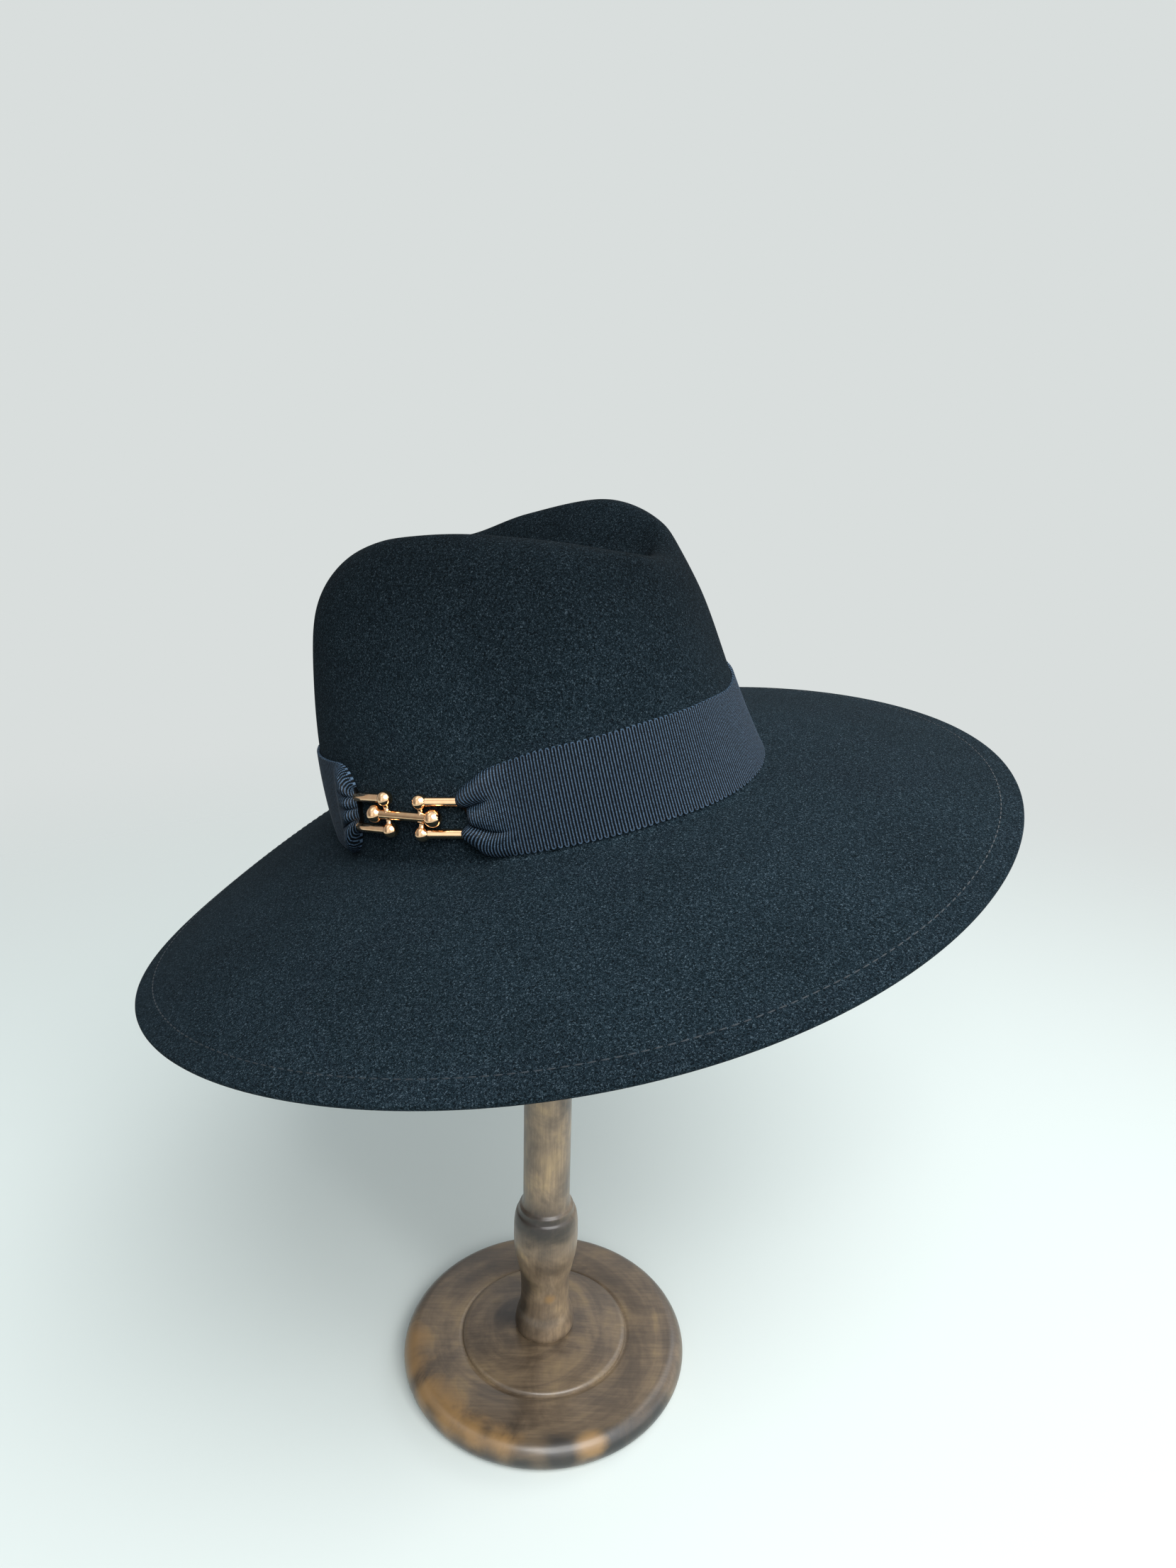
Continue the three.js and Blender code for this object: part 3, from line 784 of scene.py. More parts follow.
@dataclass(frozen=True)
class FeltHat:
    """Crown and brim: one wall of blocked felt with its edge turned under the brim and stitched down."""

    form: HatForm
    thickness: float = 2.4
    hem_width: float = 9.0
    hem_thickness: float = 3.8
    hem_step: float = 0.8
    roll: float = 1.5
    around: int = 288
    crease_rows: int = 26
    wall_rows: int = 64
    brim_rows: int = 38
    fillet_rows: int = 7
    hem_rows: int = 10
    edge_rows: int = 8
    stitch_inset: float = 8.2
    stitch_pitch: float = 4.2
    stitch_length: float = 3.0
    stitch_radius: float = 0.24
    stitch_flat: float = 1.2
    stitch_lift: float = 0.05
    line_steps: int = 2000
    slope_step: float = 0.01

    def rows(self, angle: np.ndarray) -> tuple[np.ndarray, np.ndarray]:
        """Give the rows of the felt's upper side, from the crease's floor out to the brim's edge.

        Args:
            angle: Angles round the hat, in radians.

        Returns:
            Points by row and angle, and the felt's thickness by row.
        """
        hem_start = 1 - self.hem_width / self.form.brim_width
        step = self.hem_step / self.form.brim_width
        crease = np.linspace(1, 0, self.crease_rows, endpoint=False)
        wall = np.linspace(1, 0, self.wall_rows, endpoint=False)
        fillet = np.linspace(0, 1, self.fillet_rows)
        inner = np.linspace(0, hem_start, self.brim_rows)[1:]
        hem = np.concatenate(([hem_start + step], np.linspace(hem_start + 3 * step, 1, self.hem_rows)))
        brim = np.concatenate((inner, hem))
        places = [(self.form.crease, crease), (self.form.wall, wall), (self.form.fillet, fillet),
                  (self.form.brim, brim)]
        points = np.concatenate([surface(angle[None, :], steps[:, None]) for surface, steps in places])
        thickness = np.full(len(points), self.thickness)
        thickness[-len(hem):] = self.hem_thickness
        return points, thickness

    @staticmethod
    def normals(points: np.ndarray) -> np.ndarray:
        """Give the upward normals of the felt's rows.

        Args:
            points: Points by row and angle, each row closed, and the first one a line that is run both ways.

        Returns:
            The normals.
        """
        inner = np.concatenate((points[:1], points[:-1]))
        outer = np.concatenate((points[1:], points[-1:]))
        along = np.roll(points, -1, axis=1) - np.roll(points, 1, axis=1)
        normals = unit(np.cross(outer - inner, along)[1:])
        first = unit(normals[0] + np.roll(normals[0][::-1], 1, axis=0))
        return np.concatenate((first[None], normals))

    def felt(self, material: Material) -> Object:
        """Build the felt's wall as one closed skin.

        Args:
            material: The felt's finish.

        Returns:
            The felt piece.
        """
        angle = np.arange(self.around) / self.around * FULL_TURN
        upper, thickness = self.rows(angle)
        normals = self.normals(upper)
        lower = upper - normals * thickness[:, None, None]
        out = self.form.base(angle)[1]
        turns = np.linspace(0, math.pi, self.edge_rows + 2)[1:-1, None, None]
        edge = mix(upper[-1], lower[-1], (1 - np.cos(turns)) / 2) + out * self.roll * np.sin(turns)
        rows = np.concatenate((upper, edge, lower[::-1]))
        mesh = grid_mesh(np.concatenate((rows, rows[:, :1]), axis=1))
        merge(mesh)
        return finish_piece("felt_crown_and_brim", mesh, self.form.placement(), material)

    def stitches(self, material: Material) -> Object:
        """Sew the hem's stitches, short round dashes that lie on the upper side of the brim.

        Args:
            material: The thread's finish.

        Returns:
            The piece with all the stitches.
        """
        dense = np.linspace(0, FULL_TURN, self.line_steps)
        step = 1 - self.stitch_inset / self.form.brim_width
        line = self.form.brim(dense, np.full(dense.shape, step))
        way = way_along(line)
        count = round(way[-1] / self.stitch_pitch)
        mesh = bmesh.new()
        for k in range(count):
            at = np.interp((k + 0.5) / count * way[-1], way, dense)
            here, ahead = (self.form.brim(np.array(a), np.array(step)) for a in (at, at + self.slope_step))
            outer = self.form.brim(np.array(at), np.array(step + self.slope_step))
            along = Vector(ahead - here).normalized()
            up = Vector(outer - here).cross(along).normalized()
            side = up.cross(along)
            turn = Matrix((along, side, up)).transposed().to_4x4()
            size = (self.stitch_length / 2, self.stitch_radius * self.stitch_flat, self.stitch_radius, 1.0)
            place = Matrix.Translation(Vector(here) + up * self.stitch_lift) @ turn @ Matrix.Diagonal(size)
            bmesh.ops.create_uvsphere(mesh, u_segments=6, v_segments=5, radius=1.0,
                                      matrix=place @ Matrix.Rotation(math.pi / 2, 4, "Y"))
        return finish_piece("hem_stitches", mesh, self.form.placement(), material)


@dataclass(frozen=True)
class Fold:
    """A valley in a gathered end: its rise over the gather's middle, and how it runs out along the band."""

    rise: float
    slope: float
    depth: float
    holds: float
    length: float


@dataclass(frozen=True)
class Lobe:
    """A rounded lobe between two valleys: how far it turns down to each of them, in degrees from its top."""

    lower_turn: float
    upper_turn: float


@dataclass(frozen=True)
class Gather:
    """A gathered end of the ribbon. Its lobes lie between its edges and folds, from the lower one up.

    The drops are how far the ribbon's edges are drawn in, by distance from the end. The set-backs are how
    far the end is drawn back along the band, by place across the ribbon.
    """

    angle: float
    away: int
    middle: float
    folds: tuple[Fold, ...]
    lobes: tuple[Lobe, ...]
    upper_drop: Rows
    lower_drop: Rows
    set_back: Rows


FRONT_GATHER = Gather(
    angle=-90.0, away=1, middle=21.7,
    folds=(Fold(-2.9, -0.4, 7.4, 16, 32), Fold(2.5, 0.18, 5.2, 6, 18)),
    lobes=(Lobe(100, 36), Lobe(128, 92), Lobe(80, 104)),
    upper_drop=((0, 16.5), (0.7, 13.8), (2.2, 11.6), (5, 9.5), (8, 7.9), (11, 6), (15.4, 4.7), (20, 3.7),
                (27, 2.4), (36, 1.1), (48, 0.6), (100, 0)),
    lower_drop=((0, 10.5), (2.2, 8.2), (5.3, 4.8), (8.3, 1.2), (11.8, 0), (15.4, -0.3), (19.7, 0)),
    set_back=((0, 0.4), (1 / 6, 0.1), (1 / 3, 4), (1 / 2, 4.4), (2 / 3, 3.2), (5 / 6, 0.4), (1, -0.4)),
)
REAR_GATHER = Gather(
    angle=239.2, away=-1, middle=24.0,
    folds=(Fold(-4.5, -0.4, 3.2, 6, 15), Fold(0, 0.05, 3.4, 6, 16), Fold(4.5, 0.3, 3.2, 5, 14)),
    lobes=(Lobe(100, 75), Lobe(105, 80), Lobe(105, 80), Lobe(100, 100)),
    upper_drop=((0, 9.5), (1, 7.5), (3, 5), (6, 2.6), (9, 1.2), (13, 0.3), (17, 0)),
    lower_drop=((0, 11), (1, 8.5), (3, 5), (6, 2.4), (9, 1), (13, 0.2), (17, 0)),
    set_back=((0, 4.4), (1 / 8, 2.2), (1 / 4, 0.8), (3 / 8, 0), (1 / 2, 0.8), (5 / 8, 0), (3 / 4, 1),
              (7 / 8, 1), (1, 3.4)),
)


@dataclass(frozen=True)
class RibbonBand:
    """Grosgrain ribbon round the crown, drawn in at both ends round the clasp's bends."""

    form: HatForm
    front: Gather = FRONT_GATHER
    rear: Gather = REAR_GATHER
    height: float = 39.5
    thickness: float = 1.0
    lift: float = 1.0
    bulk: float = 7.3
    fade: float = 25.0
    lobe_fade: float = 32.0
    end_round: float = 3.0
    end_share: float = 0.15
    side_radius: float = 99.0
    rib_pitch: float = 1.25
    rib_columns: int = 5
    relief: float = 0.28
    scallop: float = 0.55
    outer_rows: int = 24
    edge_rows: tuple[float, ...] = (0.0, 0.3, 0.62, 0.95, 1.3)
    inner_rows: int = 4
    front_fall: Rows = (
        (-90, 0), (-36, 0.3), (-24, 0.4), (-18, 0.8), (-9, 2.3), (0, 3.8), (14, 4.4), (60, 3.6), (120, 0))
    tacks: Rows = ((19.2, 0.72), (20.2, 0.18))
    tack_depth: float = 0.7
    tack_spread: float = 1.3
    line_steps: int = 6000
    measured_row: float = 0.84
    selvedge: float = 0.5
    scallop_middle: float = 0.6
    bulge_power: int = 6
    edge_floor: float = 0.8
    least_depth: float = 0.6
    lobe_hold: float = 3.0

    def end(self, gather: Gather, angle: np.ndarray,
            row: np.ndarray) -> tuple[np.ndarray, np.ndarray, np.ndarray]:
        """Shape the ribbon's outer side near one of its ends.

        Args:
            gather: The gathered end.
            angle: Angles along the band, in radians.
            row: Places across the ribbon, from 0 at its lower edge to 1 at its upper one.

        Returns:
            Heights up the crown, depths out from the wall, and how far each point is drawn back.
        """
        distance = np.clip((angle - math.radians(gather.angle)) * gather.away * self.side_radius, 0, None)
        flat_low = self.form.break_height(angle) + self.lift
        low = flat_low + curve(gather.lower_drop, distance)
        fall = curve(self.front_fall, np.degrees(angle))
        high = flat_low + self.height - curve(gather.upper_drop, distance) - fall
        height = mix(low, high, row)
        ending = np.sqrt(1 - (1 - np.clip(distance / self.end_round, 0, 1)) ** 2)
        bulk = self.bulk * (1 - smooth(distance / self.fade)) * mix(self.end_share, 1.0, ending)
        depth = self.thickness + bulk * (1 - np.abs(2 * row - 1) ** self.bulge_power)

        count = len(gather.lobes)
        lobe = np.clip(np.floor(row * count - 1e-9), 0, count - 1).astype(int)
        place = row * count - lobe
        full = self.thickness + bulk
        valleys, floors = [low], [self.thickness * self.edge_floor + 0 * full]
        for fold in gather.folds:
            valleys.append(gather.middle + fold.rise + fold.slope * distance)
            held = 1 - smooth((distance - fold.holds) / (fold.length - fold.holds))
            floors.append(np.maximum(full - fold.depth * held * bulk / self.bulk, self.least_depth))
        valleys.append(high)
        floors.append(floors[0])
        lower, upper = (np.choose(lobe, np.broadcast_arrays(*rows)) for rows in (valleys[:-1], valleys[1:]))
        floor = mix(np.choose(lobe, np.broadcast_arrays(*floors[:-1])),
                    np.choose(lobe, np.broadcast_arrays(*floors[1:])), place)
        under = np.radians(np.choose(lobe, [shape.lower_turn for shape in gather.lobes]))
        over = np.radians(np.choose(lobe, [shape.upper_turn for shape in gather.lobes]))
        turn = mix(-under, over, place)
        lobe_height = mix(lower, upper, (np.sin(turn) + np.sin(under)) / (np.sin(over) + np.sin(under)))
        limit = np.where(turn < 0, under, over)
        rise = (np.cos(turn) - np.cos(limit)) / (1 - np.cos(limit))
        lobed = 1 - smooth((distance - self.lobe_hold) / (self.lobe_fade - self.lobe_hold))
        height = mix(height, lobe_height, lobed)
        depth = mix(depth, mix(floor, full, rise), lobed)

        back = curve(gather.set_back, row) * (1 - smooth(distance / self.fade))
        return height, depth, back * gather.away

    def surface(self, angle: np.ndarray, row: np.ndarray) -> tuple[np.ndarray, np.ndarray, np.ndarray]:
        """Shape the ribbon's outer side all along the band.

        Args:
            angle: Angles along the band, in radians.
            row: Places across the ribbon.

        Returns:
            Drawn-back angles, heights and depths.
        """
        angle, row = np.broadcast_arrays(angle, row)
        middle = math.radians((self.front.angle + self.rear.angle) / 2)
        near, far = self.end(self.front, angle, row), self.end(self.rear, angle, row)
        height, depth, back = (np.where(angle < middle, a, b) for a, b in zip(near, far))
        return angle + back / self.side_radius, height, depth

    def end_distance(self, angle: np.ndarray) -> np.ndarray:
        """Give distances along the band from its front end."""
        return (angle - math.radians(self.front.angle)) * self.side_radius

    def columns(self) -> tuple[np.ndarray, float]:
        """Space the ribs evenly along the band.

        Returns:
            The angle of each column of vertices, and the ribbon's length.
        """
        dense = np.linspace(math.radians(self.front.angle), math.radians(self.rear.angle), self.line_steps)
        angle, height, depth = self.surface(dense, np.full(dense.shape, self.measured_row))
        line = self.form.off_wall(angle, height, depth)[0]
        way = way_along(line)
        ribs = round(way[-1] / self.rib_pitch)
        places = np.arange(ribs * self.rib_columns + 1) / (ribs * self.rib_columns) * way[-1]
        return np.interp(places, way, dense), float(way[-1])

    def ribbon(self, material: Material) -> Object:
        """Weave the ribbon as one closed band with its ribs and scalloped edges.

        Args:
            material: The ribbon's finish.

        Returns:
            The ribbon piece.
        """
        angle, length = self.columns()
        log.info("ribbon: %.0f mm long", length)
        step = np.arange(len(angle))
        along = step / self.rib_columns * self.rib_pitch
        low_rows = np.array(self.edge_rows) / self.height
        row = np.concatenate((low_rows, np.arange(1, self.outer_rows) / self.outer_rows, 1 - low_rows[::-1]))
        at, height, depth = self.surface(angle[None, :], row[:, None])
        edge_distance = (np.minimum(row, 1 - row) * self.height)[:, None]
        beside = np.mod(along, 2 * self.rib_pitch)[None, :] - self.rib_pitch
        around = np.hypot(beside, np.minimum(edge_distance - self.rib_pitch / 2, 0))
        off_rib = np.clip(np.abs(2 * around / self.rib_pitch - 1), 0, 1)
        looped = np.sqrt(1 - (beside / self.rib_pitch) ** 2)
        outward = np.sign(row - 0.5)[:, None] * np.exp(-edge_distance / self.selvedge)
        height = height + self.scallop * (looped - self.scallop_middle) * outward
        band = self.end_distance(angle)[None, :]
        for distance, place in self.tacks:
            off = ((band - distance) ** 2 + ((row[:, None] - place) * self.height) ** 2) / self.tack_spread**2
            depth = depth - self.tack_depth * np.exp(-off)
        depth = depth + self.relief * (np.sqrt(1 - off_rib**2) - 0.5)
        outer = self.form.off_wall(at, height, SEAT_GAP + depth)[0]
        pick = np.rint(np.linspace(len(row) - 1, 0, self.inner_rows + 1)).astype(int)
        inner = self.form.off_wall(at[pick], height[pick], np.full(height[pick].shape, SEAT_GAP))[0]
        rows = np.concatenate((outer, inner, outer[:1]))
        across = np.concatenate((row, row[pick], [0.0])) * self.height
        flat = np.stack(np.broadcast_arrays(along[None, :], across[:, None]), axis=-1)
        mesh = grid_mesh(rows, flat)
        merge(mesh, 0.0005)
        close_ends(mesh)
        return finish_piece("grosgrain_band", mesh, self.form.placement(), material)


@dataclass(frozen=True)
class Clasp:
    """Two U-shaped shackles with ball ends, whose pins pass through the bar of a middle link."""

    form: HatForm
    angle: float = -104.0
    height: float = 22.7
    stand_off: float = 4.6
    tilt: float = -4.5
    front_reach: float = 8.9
    rear_reach: float = 8.3
    front_inward: float = 14.0
    rear_inward: float = 10.0
    half: float = 6.5
    bar: float = 1.95
    ball: float = 3.15
    neck: float = 1.1
    front_tilt: float = -0.5
    rear_tilt: float = 6.5
    middle_shift: float = -0.1
    middle_half: float = 14.8
    middle_tilt: float = 1.0
    middle_ball: float = 3.6
    sides: int = 40
    hidden_leg: float = 22.5
    bend_share: float = 0.4
    dip: float = 2.2
    dip_start: float = 14.4
    dip_reach: float = 6.0
    pin_overlap: float = 0.4
    flare_overlap: float = 0.35

    def placement(self) -> Matrix:
        """Give the clasp's frame on the crown, in the hat's placement.

        Returns:
            The frame, in millimetres.
        """
        point, out = self.form.off_wall(np.array(math.radians(self.angle)), np.array(self.height),
                                        np.array(self.stand_off))
        facing = Vector(out)
        along = Vector((0, 0, 1)).cross(facing).normalized()
        up = facing.cross(along)
        basis = Matrix((along, up, facing)).transposed().to_4x4()
        spin = Matrix.Rotation(math.radians(self.tilt), 4, "Z")
        return self.form.placement() @ Matrix.Translation(Vector(point)) @ basis @ spin

    @staticmethod
    def placed(reach: float, tilt: float, turn: float = 0.0) -> Matrix:
        """Give a place along the clasp, tilted in its plane and then turned about its own pin."""
        return (Matrix.Translation((reach, 0, 0)) @ Matrix.Rotation(math.radians(tilt), 4, "Z")
                @ Matrix.Rotation(math.radians(turn), 4, "Y"))

    def turned(self, mesh: BMesh, profile: Sequence[tuple[float, float]], placement: Matrix) -> None:
        """Turn a profile about its own X axis and add it to a mesh.

        Args:
            mesh: The mesh that gets the turned part.
            profile: Places along X and radii.
            placement: The part's frame.
        """
        points = [placement @ Vector((x, radius, 0)) for x, radius in profile]
        turn_chain(mesh, points, placement.translation, placement.to_3x3() @ Vector((1, 0, 0)), self.sides)

    def add_ball(self, mesh: BMesh, place: Vector, radius: float) -> None:
        """Add a round ball to a mesh."""
        bmesh.ops.create_uvsphere(mesh, u_segments=48, v_segments=32, radius=radius,
                                  matrix=Matrix.Translation(place))

    def shackle(self, name: str, placement: Matrix, outward: int, material: Material) -> Object:
        """Bend a shackle from bar, with a ball on each leg's end and a flared neck on its pin.

        Args:
            name: The piece's name.
            placement: The shackle's frame: its pin lies on Y through its origin and its legs run to +X.
            outward: Which way of the frame's Z points away from the crown.
            material: The metal.

        Returns:
            The shackle piece.
        """
        mesh = bmesh.new()
        start = Matrix.Translation((0, self.half, 0)) @ Matrix.Rotation(math.pi / 2, 4, "Y")
        ring = bmesh.ops.create_circle(mesh, segments=32, radius=self.bar, cap_ends=False,
                                       matrix=start)["verts"]
        edges = list({edge for vert in ring for edge in vert.link_edges})
        moved = bmesh.ops.extrude_edge_only(mesh, edges=edges)["geom"]
        verts = [part for part in moved if isinstance(part, BMVert)]
        bmesh.ops.translate(mesh, verts=verts, vec=(self.hidden_leg, 0, 0))
        edges = [part for part in moved if isinstance(part, BMEdge)]
        last = bmesh.ops.spin(mesh, geom=verts + edges, cent=(self.hidden_leg, 0, 0), axis=(0, 0, -1),
                              dvec=(0, 0, 0), angle=math.pi, steps=32, use_merge=False,
                              use_duplicate=False)["geom_last"]
        moved = bmesh.ops.extrude_edge_only(mesh, edges=[part for part in last if isinstance(part, BMEdge)])
        verts = [part for part in moved["geom"] if isinstance(part, BMVert)]
        bmesh.ops.translate(mesh, verts=verts, vec=(-self.hidden_leg, 0, 0))
        merge(mesh)
        close_ends(mesh)
        for vert in mesh.verts:
            vert.co.x -= max(vert.co.x - self.hidden_leg, 0.0) * (1 - self.bend_share)
            vert.co.z -= outward * self.dip * float(smooth((vert.co.x - self.dip_start) / self.dip_reach))
        for side in (1, -1):
            self.add_ball(mesh, Vector((0, side * self.half, 0)), self.ball)
        reach = self.half - self.ball + self.pin_overlap
        flare = self.bar - self.flare_overlap
        profile = [(-reach, 0.0), (-reach, self.neck + 0.45), (-reach + 0.5, self.neck + 0.1)]
        profile += [(-reach + 0.9, self.neck), (-flare - 0.45, self.neck)]
        profile += [(-flare - 0.1, self.neck + 0.2), (-flare + 0.1, self.neck + 0.5)]
        profile += [(-x, radius) for x, radius in reversed(profile)]
        self.turned(mesh, profile, Matrix.Rotation(math.pi / 2, 4, "Z"))
        merge(mesh)
        return finish_piece(name, mesh, placement, material)

    def middle(self, placement: Matrix, material: Material) -> Object:
        """Turn the middle link: one bar along X with a ball at each end.

        Args:
            placement: The link's frame.
            material: The metal.

        Returns:
            The link piece.
        """
        mesh = bmesh.new()
        profile = [(-self.middle_half, 0.0), (-self.middle_half, self.bar), (self.middle_half, self.bar),
                   (self.middle_half, 0.0)]
        self.turned(mesh, profile, Matrix.Identity(4))
        for side in (1, -1):
            self.add_ball(mesh, Vector((side * self.middle_half, 0, 0)), self.middle_ball)
        merge(mesh)
        return finish_piece("link_with_ball_ends", mesh, placement, material)

    def build(self, material: Material) -> dict[str, Object]:
        """Make the three links.

        Args:
            material: The metal.

        Returns:
            The pieces by the name of the node that each stands for.
        """
        here = self.placement()
        front = here @ self.placed(self.front_reach, self.front_tilt, self.front_inward)
        rear = here @ self.placed(-self.rear_reach, self.rear_tilt, 180 - self.rear_inward)
        middle = here @ self.placed(self.middle_shift, self.middle_tilt)
        return {
            "clasp_shackle_front": self.shackle("front_shackle", front, 1, material),
            "clasp_shackle_rear": self.shackle("rear_shackle", rear, -1, material),
            "clasp_link_middle": self.middle(middle, material),
        }


# Worn tan and blue-black stains along the foot's rim, and painted shade under the post's shoulder, down the
# post's left side and on the foot beside the post
TAN, STAIN, PAINTED_SHADE = "#8a6c45", "#14191d", "#120d09"
FOOT_PATCHES = (
    Patch((-73, -10, 13), 9, TAN),
    Patch((-69, -26, 13), 10, TAN),
    Patch((-60, -42, 13), 10, TAN),
    Patch((-48, -55, 13), 10, TAN),
    Patch((-34, -64, 14), 10, TAN),
    Patch((-18, -70, 15), 9, TAN),
    Patch((-66, -40, 3), 7, STAIN),
    Patch((-53, -55, 4), 8, STAIN),
    Patch((-38, -66, 4), 8, STAIN),
    Patch((-23, -73, 5), 8, STAIN),
    Patch((-8, -76, 6), 9, STAIN),
    Patch((11, -74, 11), 10, STAIN),
    Patch((38, -67, 9), 10, STAIN),
    Patch((50, -58, 9), 10, STAIN),
    Patch((61, -47, 8), 9, STAIN),
    Patch((27, -70, 13), 6, TAN),
    # Painted shade on the foot beside the post
    Patch((-22, 6, 20), 12, PAINTED_SHADE),
)
# Painted shade under the post's shoulder and down its left side, and one worn tan spot
POST_PATCHES = (
    Patch((-12, -10, 96), 11, PAINTED_SHADE),
    Patch((0, -16, 94), 9, PAINTED_SHADE),
    Patch((10, -13, 95), 10, PAINTED_SHADE),
    Patch((-14, -9, 54), 10, PAINTED_SHADE),
    Patch((-13, -6, 38), 10, PAINTED_SHADE),
    Patch((3, -13, 48), 3, TAN),
    Patch((-15, -7, 26), 10, PAINTED_SHADE),
)


@dataclass(frozen=True)
class HatStand:
    """The turned stand: a round stepped foot, a post with one bead and a plain domed head."""

    foot_radius: float = 76.0
    foot_edge: float = 8.0
    step_radius: float = 44.5
    step_height: float = 2.0
    crown_height: float = 4.5
    crown_radius: float = 17.0
    post: Rows = (
        (20.8, 15), (22.2, 15.6), (24, 15.9), (26, 15.7), (30, 15), (36, 13.4), (42, 12.9), (52, 13.1),
        (62, 14.5), (72, 16.4), (80, 16.9), (88, 16.8), (93, 16.3), (95.5, 15.6), (96.6, 14.7), (98, 14.3),
        (99.2, 14.2), (101, 12.8), (103.5, 12.2), (106, 12.1), (384, 12.1))
    head_top: float = 419.3
    head_radius: float = 38.0
    head_height: float = 33.0
    head_rim: float = 6.0
    head_neck: float = 17.0
    sides: int = 144
    post_steps: int = 6

    def turned(self, name: str, profile: Sequence[tuple[float, float]], material: Material) -> Object:
        """Turn a piece about the stand's axis.

        Args:
            name: The piece's name.
            profile: Radii and heights, from the axis round to the axis.
            material: The wood.

        Returns:
            The turned piece.
        """
        mesh = bmesh.new()
        points = [Vector((radius, 0, height)) for radius, height in profile]
        turn_chain(mesh, points, Vector((0, 0, 0)), Vector((0, 0, 1)), self.sides)
        merge(mesh)
        return finish_piece(name, mesh, Matrix.Identity(4), material)

    def foot(self, material: Material) -> Object:
        """Turn the foot: a disc with a full round edge and a low stepped crown.

        Args:
            material: The wood.

        Returns:
            The foot.
        """
        edge, top = self.foot_edge, 2 * self.foot_edge
        turns = [math.radians(-90 + 7.5 * k) for k in range(25)]
        profile = [(0.0, 0.0), (self.foot_radius - edge - 1, 0.0)]
        profile += [(self.foot_radius - edge + edge * math.cos(turn),
                     edge + edge * math.sin(turn)) for turn in turns]
        profile += [(self.step_radius + 2.4, top + 0.02), (self.step_radius + 1.4, top - 0.2)]
        profile += [(self.step_radius + 0.5, top - 0.6), (self.step_radius, top - 0.5)]
        profile += [(self.step_radius - 0.3, top + 0.8), (self.step_radius - 0.9, top + 1.5)]
        profile += [(self.step_radius - 2, top + self.step_height),
                    (self.step_radius - 3, top + self.step_height + 0.1)]
        profile += [(self.crown_radius, top + self.crown_height), (0.0, top + self.crown_height)]
        return self.turned("turned_foot", profile, material)

    def post_piece(self, material: Material) -> Object:
        """Turn the post, on a smooth curve through its rows.

        Args:
            material: The wood.

        Returns:
            The post.
        """
        rows = [height for height, _ in self.post]
        shares = [k / self.post_steps for k in range(self.post_steps)]
        steps = [low + (high - low) * share for low, high in zip(rows, rows[1:]) for share in shares]
        steps.append(rows[-1])
        radii = [float(radius) for radius in curve(self.post, np.array(steps))]
        profile = [(0.0, rows[0]), *zip(radii, steps), (0.0, rows[-1])]
        return self.turned("turned_post", profile, material)

    def head(self, material: Material) -> Object:
        """Turn the plain head that the crown's crease rests on.

        Args:
            material: The wood.

        Returns:
            The head.
        """
        bottom = self.post[-1][0] + SEAT_GAP
        rim_low = self.head_top - self.head_height
        rim = rim_low + self.head_rim
        profile = [(0.0, bottom), (self.head_neck, bottom), (self.head_radius - 2, rim_low)]
        profile += [(self.head_radius, rim_low + 2), (self.head_radius, rim)]
        for turn in np.linspace(0, math.pi / 2, 25)[1:]:
            profile.append((self.head_radius * math.cos(turn), rim + (self.head_top - rim) * math.sin(turn)))
        profile[-1] = (0.0, self.head_top)
        return self.turned("turned_head", profile, material)

    def build(self, post_wood: Material, disc_wood: Material) -> dict[str, Object]:
        """Turn the stand's three pieces.

        Args:
            post_wood: Wood with its grain upright.
            disc_wood: Wood with its grain across.

        Returns:
            The pieces by the name of the node that each stands for.
        """
        return {
            "stand_foot": self.foot(disc_wood),
            "stand_post": self.post_piece(post_wood),
            "stand_head": self.head(disc_wood),
        }


@dataclass(frozen=True)
class Softbox:
    """A square soft light: its place and side in millimetres, and its power in watts."""

    name: str
    place: tuple[float, float, float]
    side: float
    power: float


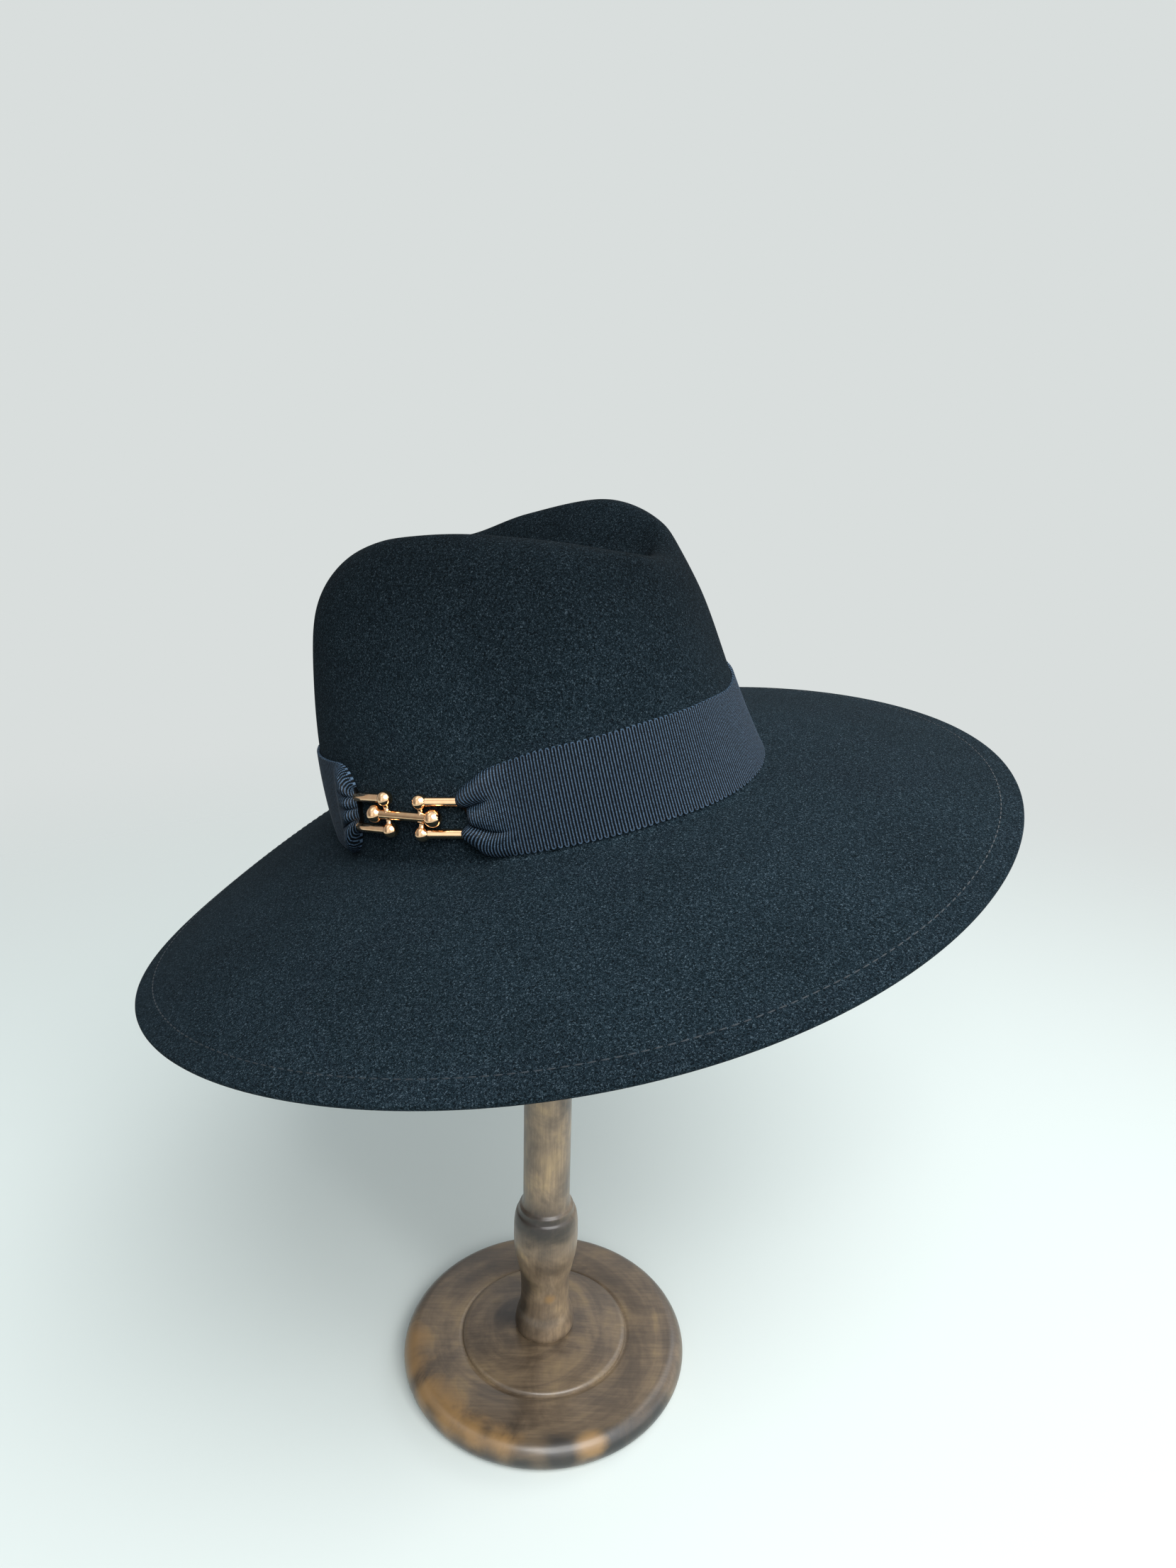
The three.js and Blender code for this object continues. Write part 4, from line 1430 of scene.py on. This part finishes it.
@dataclass(frozen=True)
class Studio:
    """A plain pale floor, soft light, and the camera."""

    floor_colour: str = "#d6dedb"
    room_colour: str = "#d9dedd"
    floor_near: float = 350.0
    floor_far: float = 1300.0
    bright_side: tuple[float, float, float] = (0.42, -0.55, 0.72)
    bright_colour: str = "#f4fbff"
    dim_colour: str = "#3b4245"
    mirrored_glow: float = 1.5
    camera_place: tuple[float, float, float] = (16.05, -472.0, 488.0)
    camera_right: tuple[float, float, float] = (0.9997, 0.0083, 0.025)
    camera_up: tuple[float, float, float] = (-0.0263, 0.3149, 0.9488)
    camera_back: tuple[float, float, float] = (0.0, -0.9491, 0.315)
    lens: float = 24.966
    sensor: float = 36.0
    clip_start: float = 0.01
    aim: tuple[float, float, float] = (0.0, 0.0, 320.0)
    softboxes: tuple[Softbox, ...] = (
        Softbox("key_softbox", (500.0, -1200.0, 1600.0), 1400.0, 48.0),
        Softbox("glint_softbox", (-150.0, -1000.0, 1150.0), 160.0, 1.6),
        Softbox("back_softbox", (900.0, 700.0, 1300.0), 900.0, 5.0),
    )

    def floor(self) -> None:
        """Lay the floor."""
        mesh = bmesh.new()
        bmesh.ops.create_grid(mesh, x_segments=1, y_segments=1, size=2.0)
        data = bpy.data.meshes.new("studio_floor")
        mesh.to_mesh(data)
        mesh.free()
        floor = bpy.data.objects.new("studio_floor", data)
        bpy.context.scene.collection.objects.link(floor)
        material, tree, shader = new_material("Matt painted board")
        place = add_node(tree, "TexCoord", out="Object")
        away = add_node(tree, "VectorMath", out="Value", operation="LENGTH", in0=place)
        fade = add_node(tree, "MapRange", interpolation_type="SMOOTHSTEP", Value=away,
                        From_Min=self.floor_near * MM, From_Max=self.floor_far * MM, To_Min=1.0, To_Max=0.0)
        fill_inputs(shader, Base_Color=linear(self.floor_colour), Alpha=fade, Roughness=0.8,
                    Specular_IOR_Level=0.0)
        data.materials.append(material)

    def light(self) -> None:
        """Set the pale world and the soft lights, each turned to the hat."""
        world = bpy.data.worlds.new("pale_room")
        world.use_nodes = True
        tree = world.node_tree
        way = add_node(tree, "TexCoord", out="Generated")
        side = add_node(tree, "VectorMath", out="Value", operation="DOT_PRODUCT", in0=way,
                        in1=self.bright_side)
        bright = add_node(tree, "MapRange", interpolation_type="SMOOTHSTEP", Value=side, From_Min=0.12,
                          From_Max=0.95)
        glow = add_node(tree, "Mix", out=2, data_type="RGBA", in0=bright, in6=linear(self.dim_colour),
                        in7=linear(self.bright_colour))
        # What the metal mirrors: a bright side with broad lighter and darker parts, as of a furnished room
        wide = add_node(tree, "MapRange", interpolation_type="SMOOTHSTEP", Value=side, From_Min=-0.4,
                        From_Max=0.7, To_Min=0.3, To_Max=self.mirrored_glow)
        parts = add_node(tree, "TexNoise", Vector=way, Scale=1.3, Detail=0.0)
        uneven = add_node(tree, "MapRange", interpolation_type="SMOOTHSTEP", Value=parts, From_Min=0.42,
                          From_Max=0.58, To_Min=0.65, To_Max=1.5)
        mirrored = add_node(tree, "Math", operation="MULTIPLY", in0=wide, in1=uneven)
        ray = add_node(tree, "LightPath").node.outputs
        cards = add_node(tree, "Mix", out=2, data_type="RGBA", in0=ray["Is Glossy Ray"], in6=glow,
                         in7=mirrored)
        room = add_node(tree, "Mix", out=2, data_type="RGBA", in0=ray["Is Camera Ray"], in6=cards,
                        in7=linear(self.room_colour))
        fill_inputs(tree.nodes["Background"], Color=room)
        bpy.context.scene.world = world
        for box in self.softboxes:
            data = bpy.data.lights.new(box.name, "AREA")
            data.size = box.side * MM
            data.energy = box.power
            lamp = bpy.data.objects.new(box.name, data)
            lamp.location = Vector(box.place) * MM
            way_to_hat = Vector(self.aim) - Vector(box.place)
            lamp.rotation_euler = way_to_hat.to_track_quat("-Z", "Y").to_euler()
            bpy.context.scene.collection.objects.link(lamp)

    def camera(self) -> None:
        """Place the camera."""
        data = bpy.data.cameras.new("camera")
        data.lens = self.lens
        data.sensor_width = self.sensor
        data.clip_start = self.clip_start
        camera = bpy.data.objects.new("camera", data)
        axes = [Vector(axis).normalized() for axis in (self.camera_right, self.camera_up, self.camera_back)]
        turn = Matrix(axes).transposed().to_4x4()
        camera.matrix_world = Matrix.Translation(Vector(self.camera_place) * MM) @ turn
        bpy.context.scene.collection.objects.link(camera)
        bpy.context.scene.camera = camera

    def build(self) -> None:
        """Set up floor, light and camera, with colours shown as they are."""
        self.floor()
        self.light()
        self.camera()
        bpy.context.scene.view_settings.view_transform = "Standard"


def main() -> None:
    """Build the hat and its stand, piece by piece."""
    logging.basicConfig(level=logging.INFO, format="%(name)s: %(message)s")
    form = HatForm()

    hat = FeltHat(form)
    felt = hat.felt(WoolFelt().material())
    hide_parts("felt_hat")
    stitches = hat.stitches(SewingThread().material())

    band = RibbonBand(form)
    ribbon = band.ribbon(Grosgrain(band.rib_pitch, band.height).material())
    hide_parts("ribbon_band")

    for node, piece in Clasp(form).build(RoseGold().material()).items():
        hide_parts(node)

    post_wood = TurnedWood(Grain.UPRIGHT, POST_PATCHES).material()
    disc_wood = TurnedWood(Grain.ACROSS, FOOT_PATCHES, 0.6).material()
    for node, piece in HatStand().build(post_wood, disc_wood).items():
        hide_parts(node)

    Studio().build()


if __name__ == "__main__":
    main()
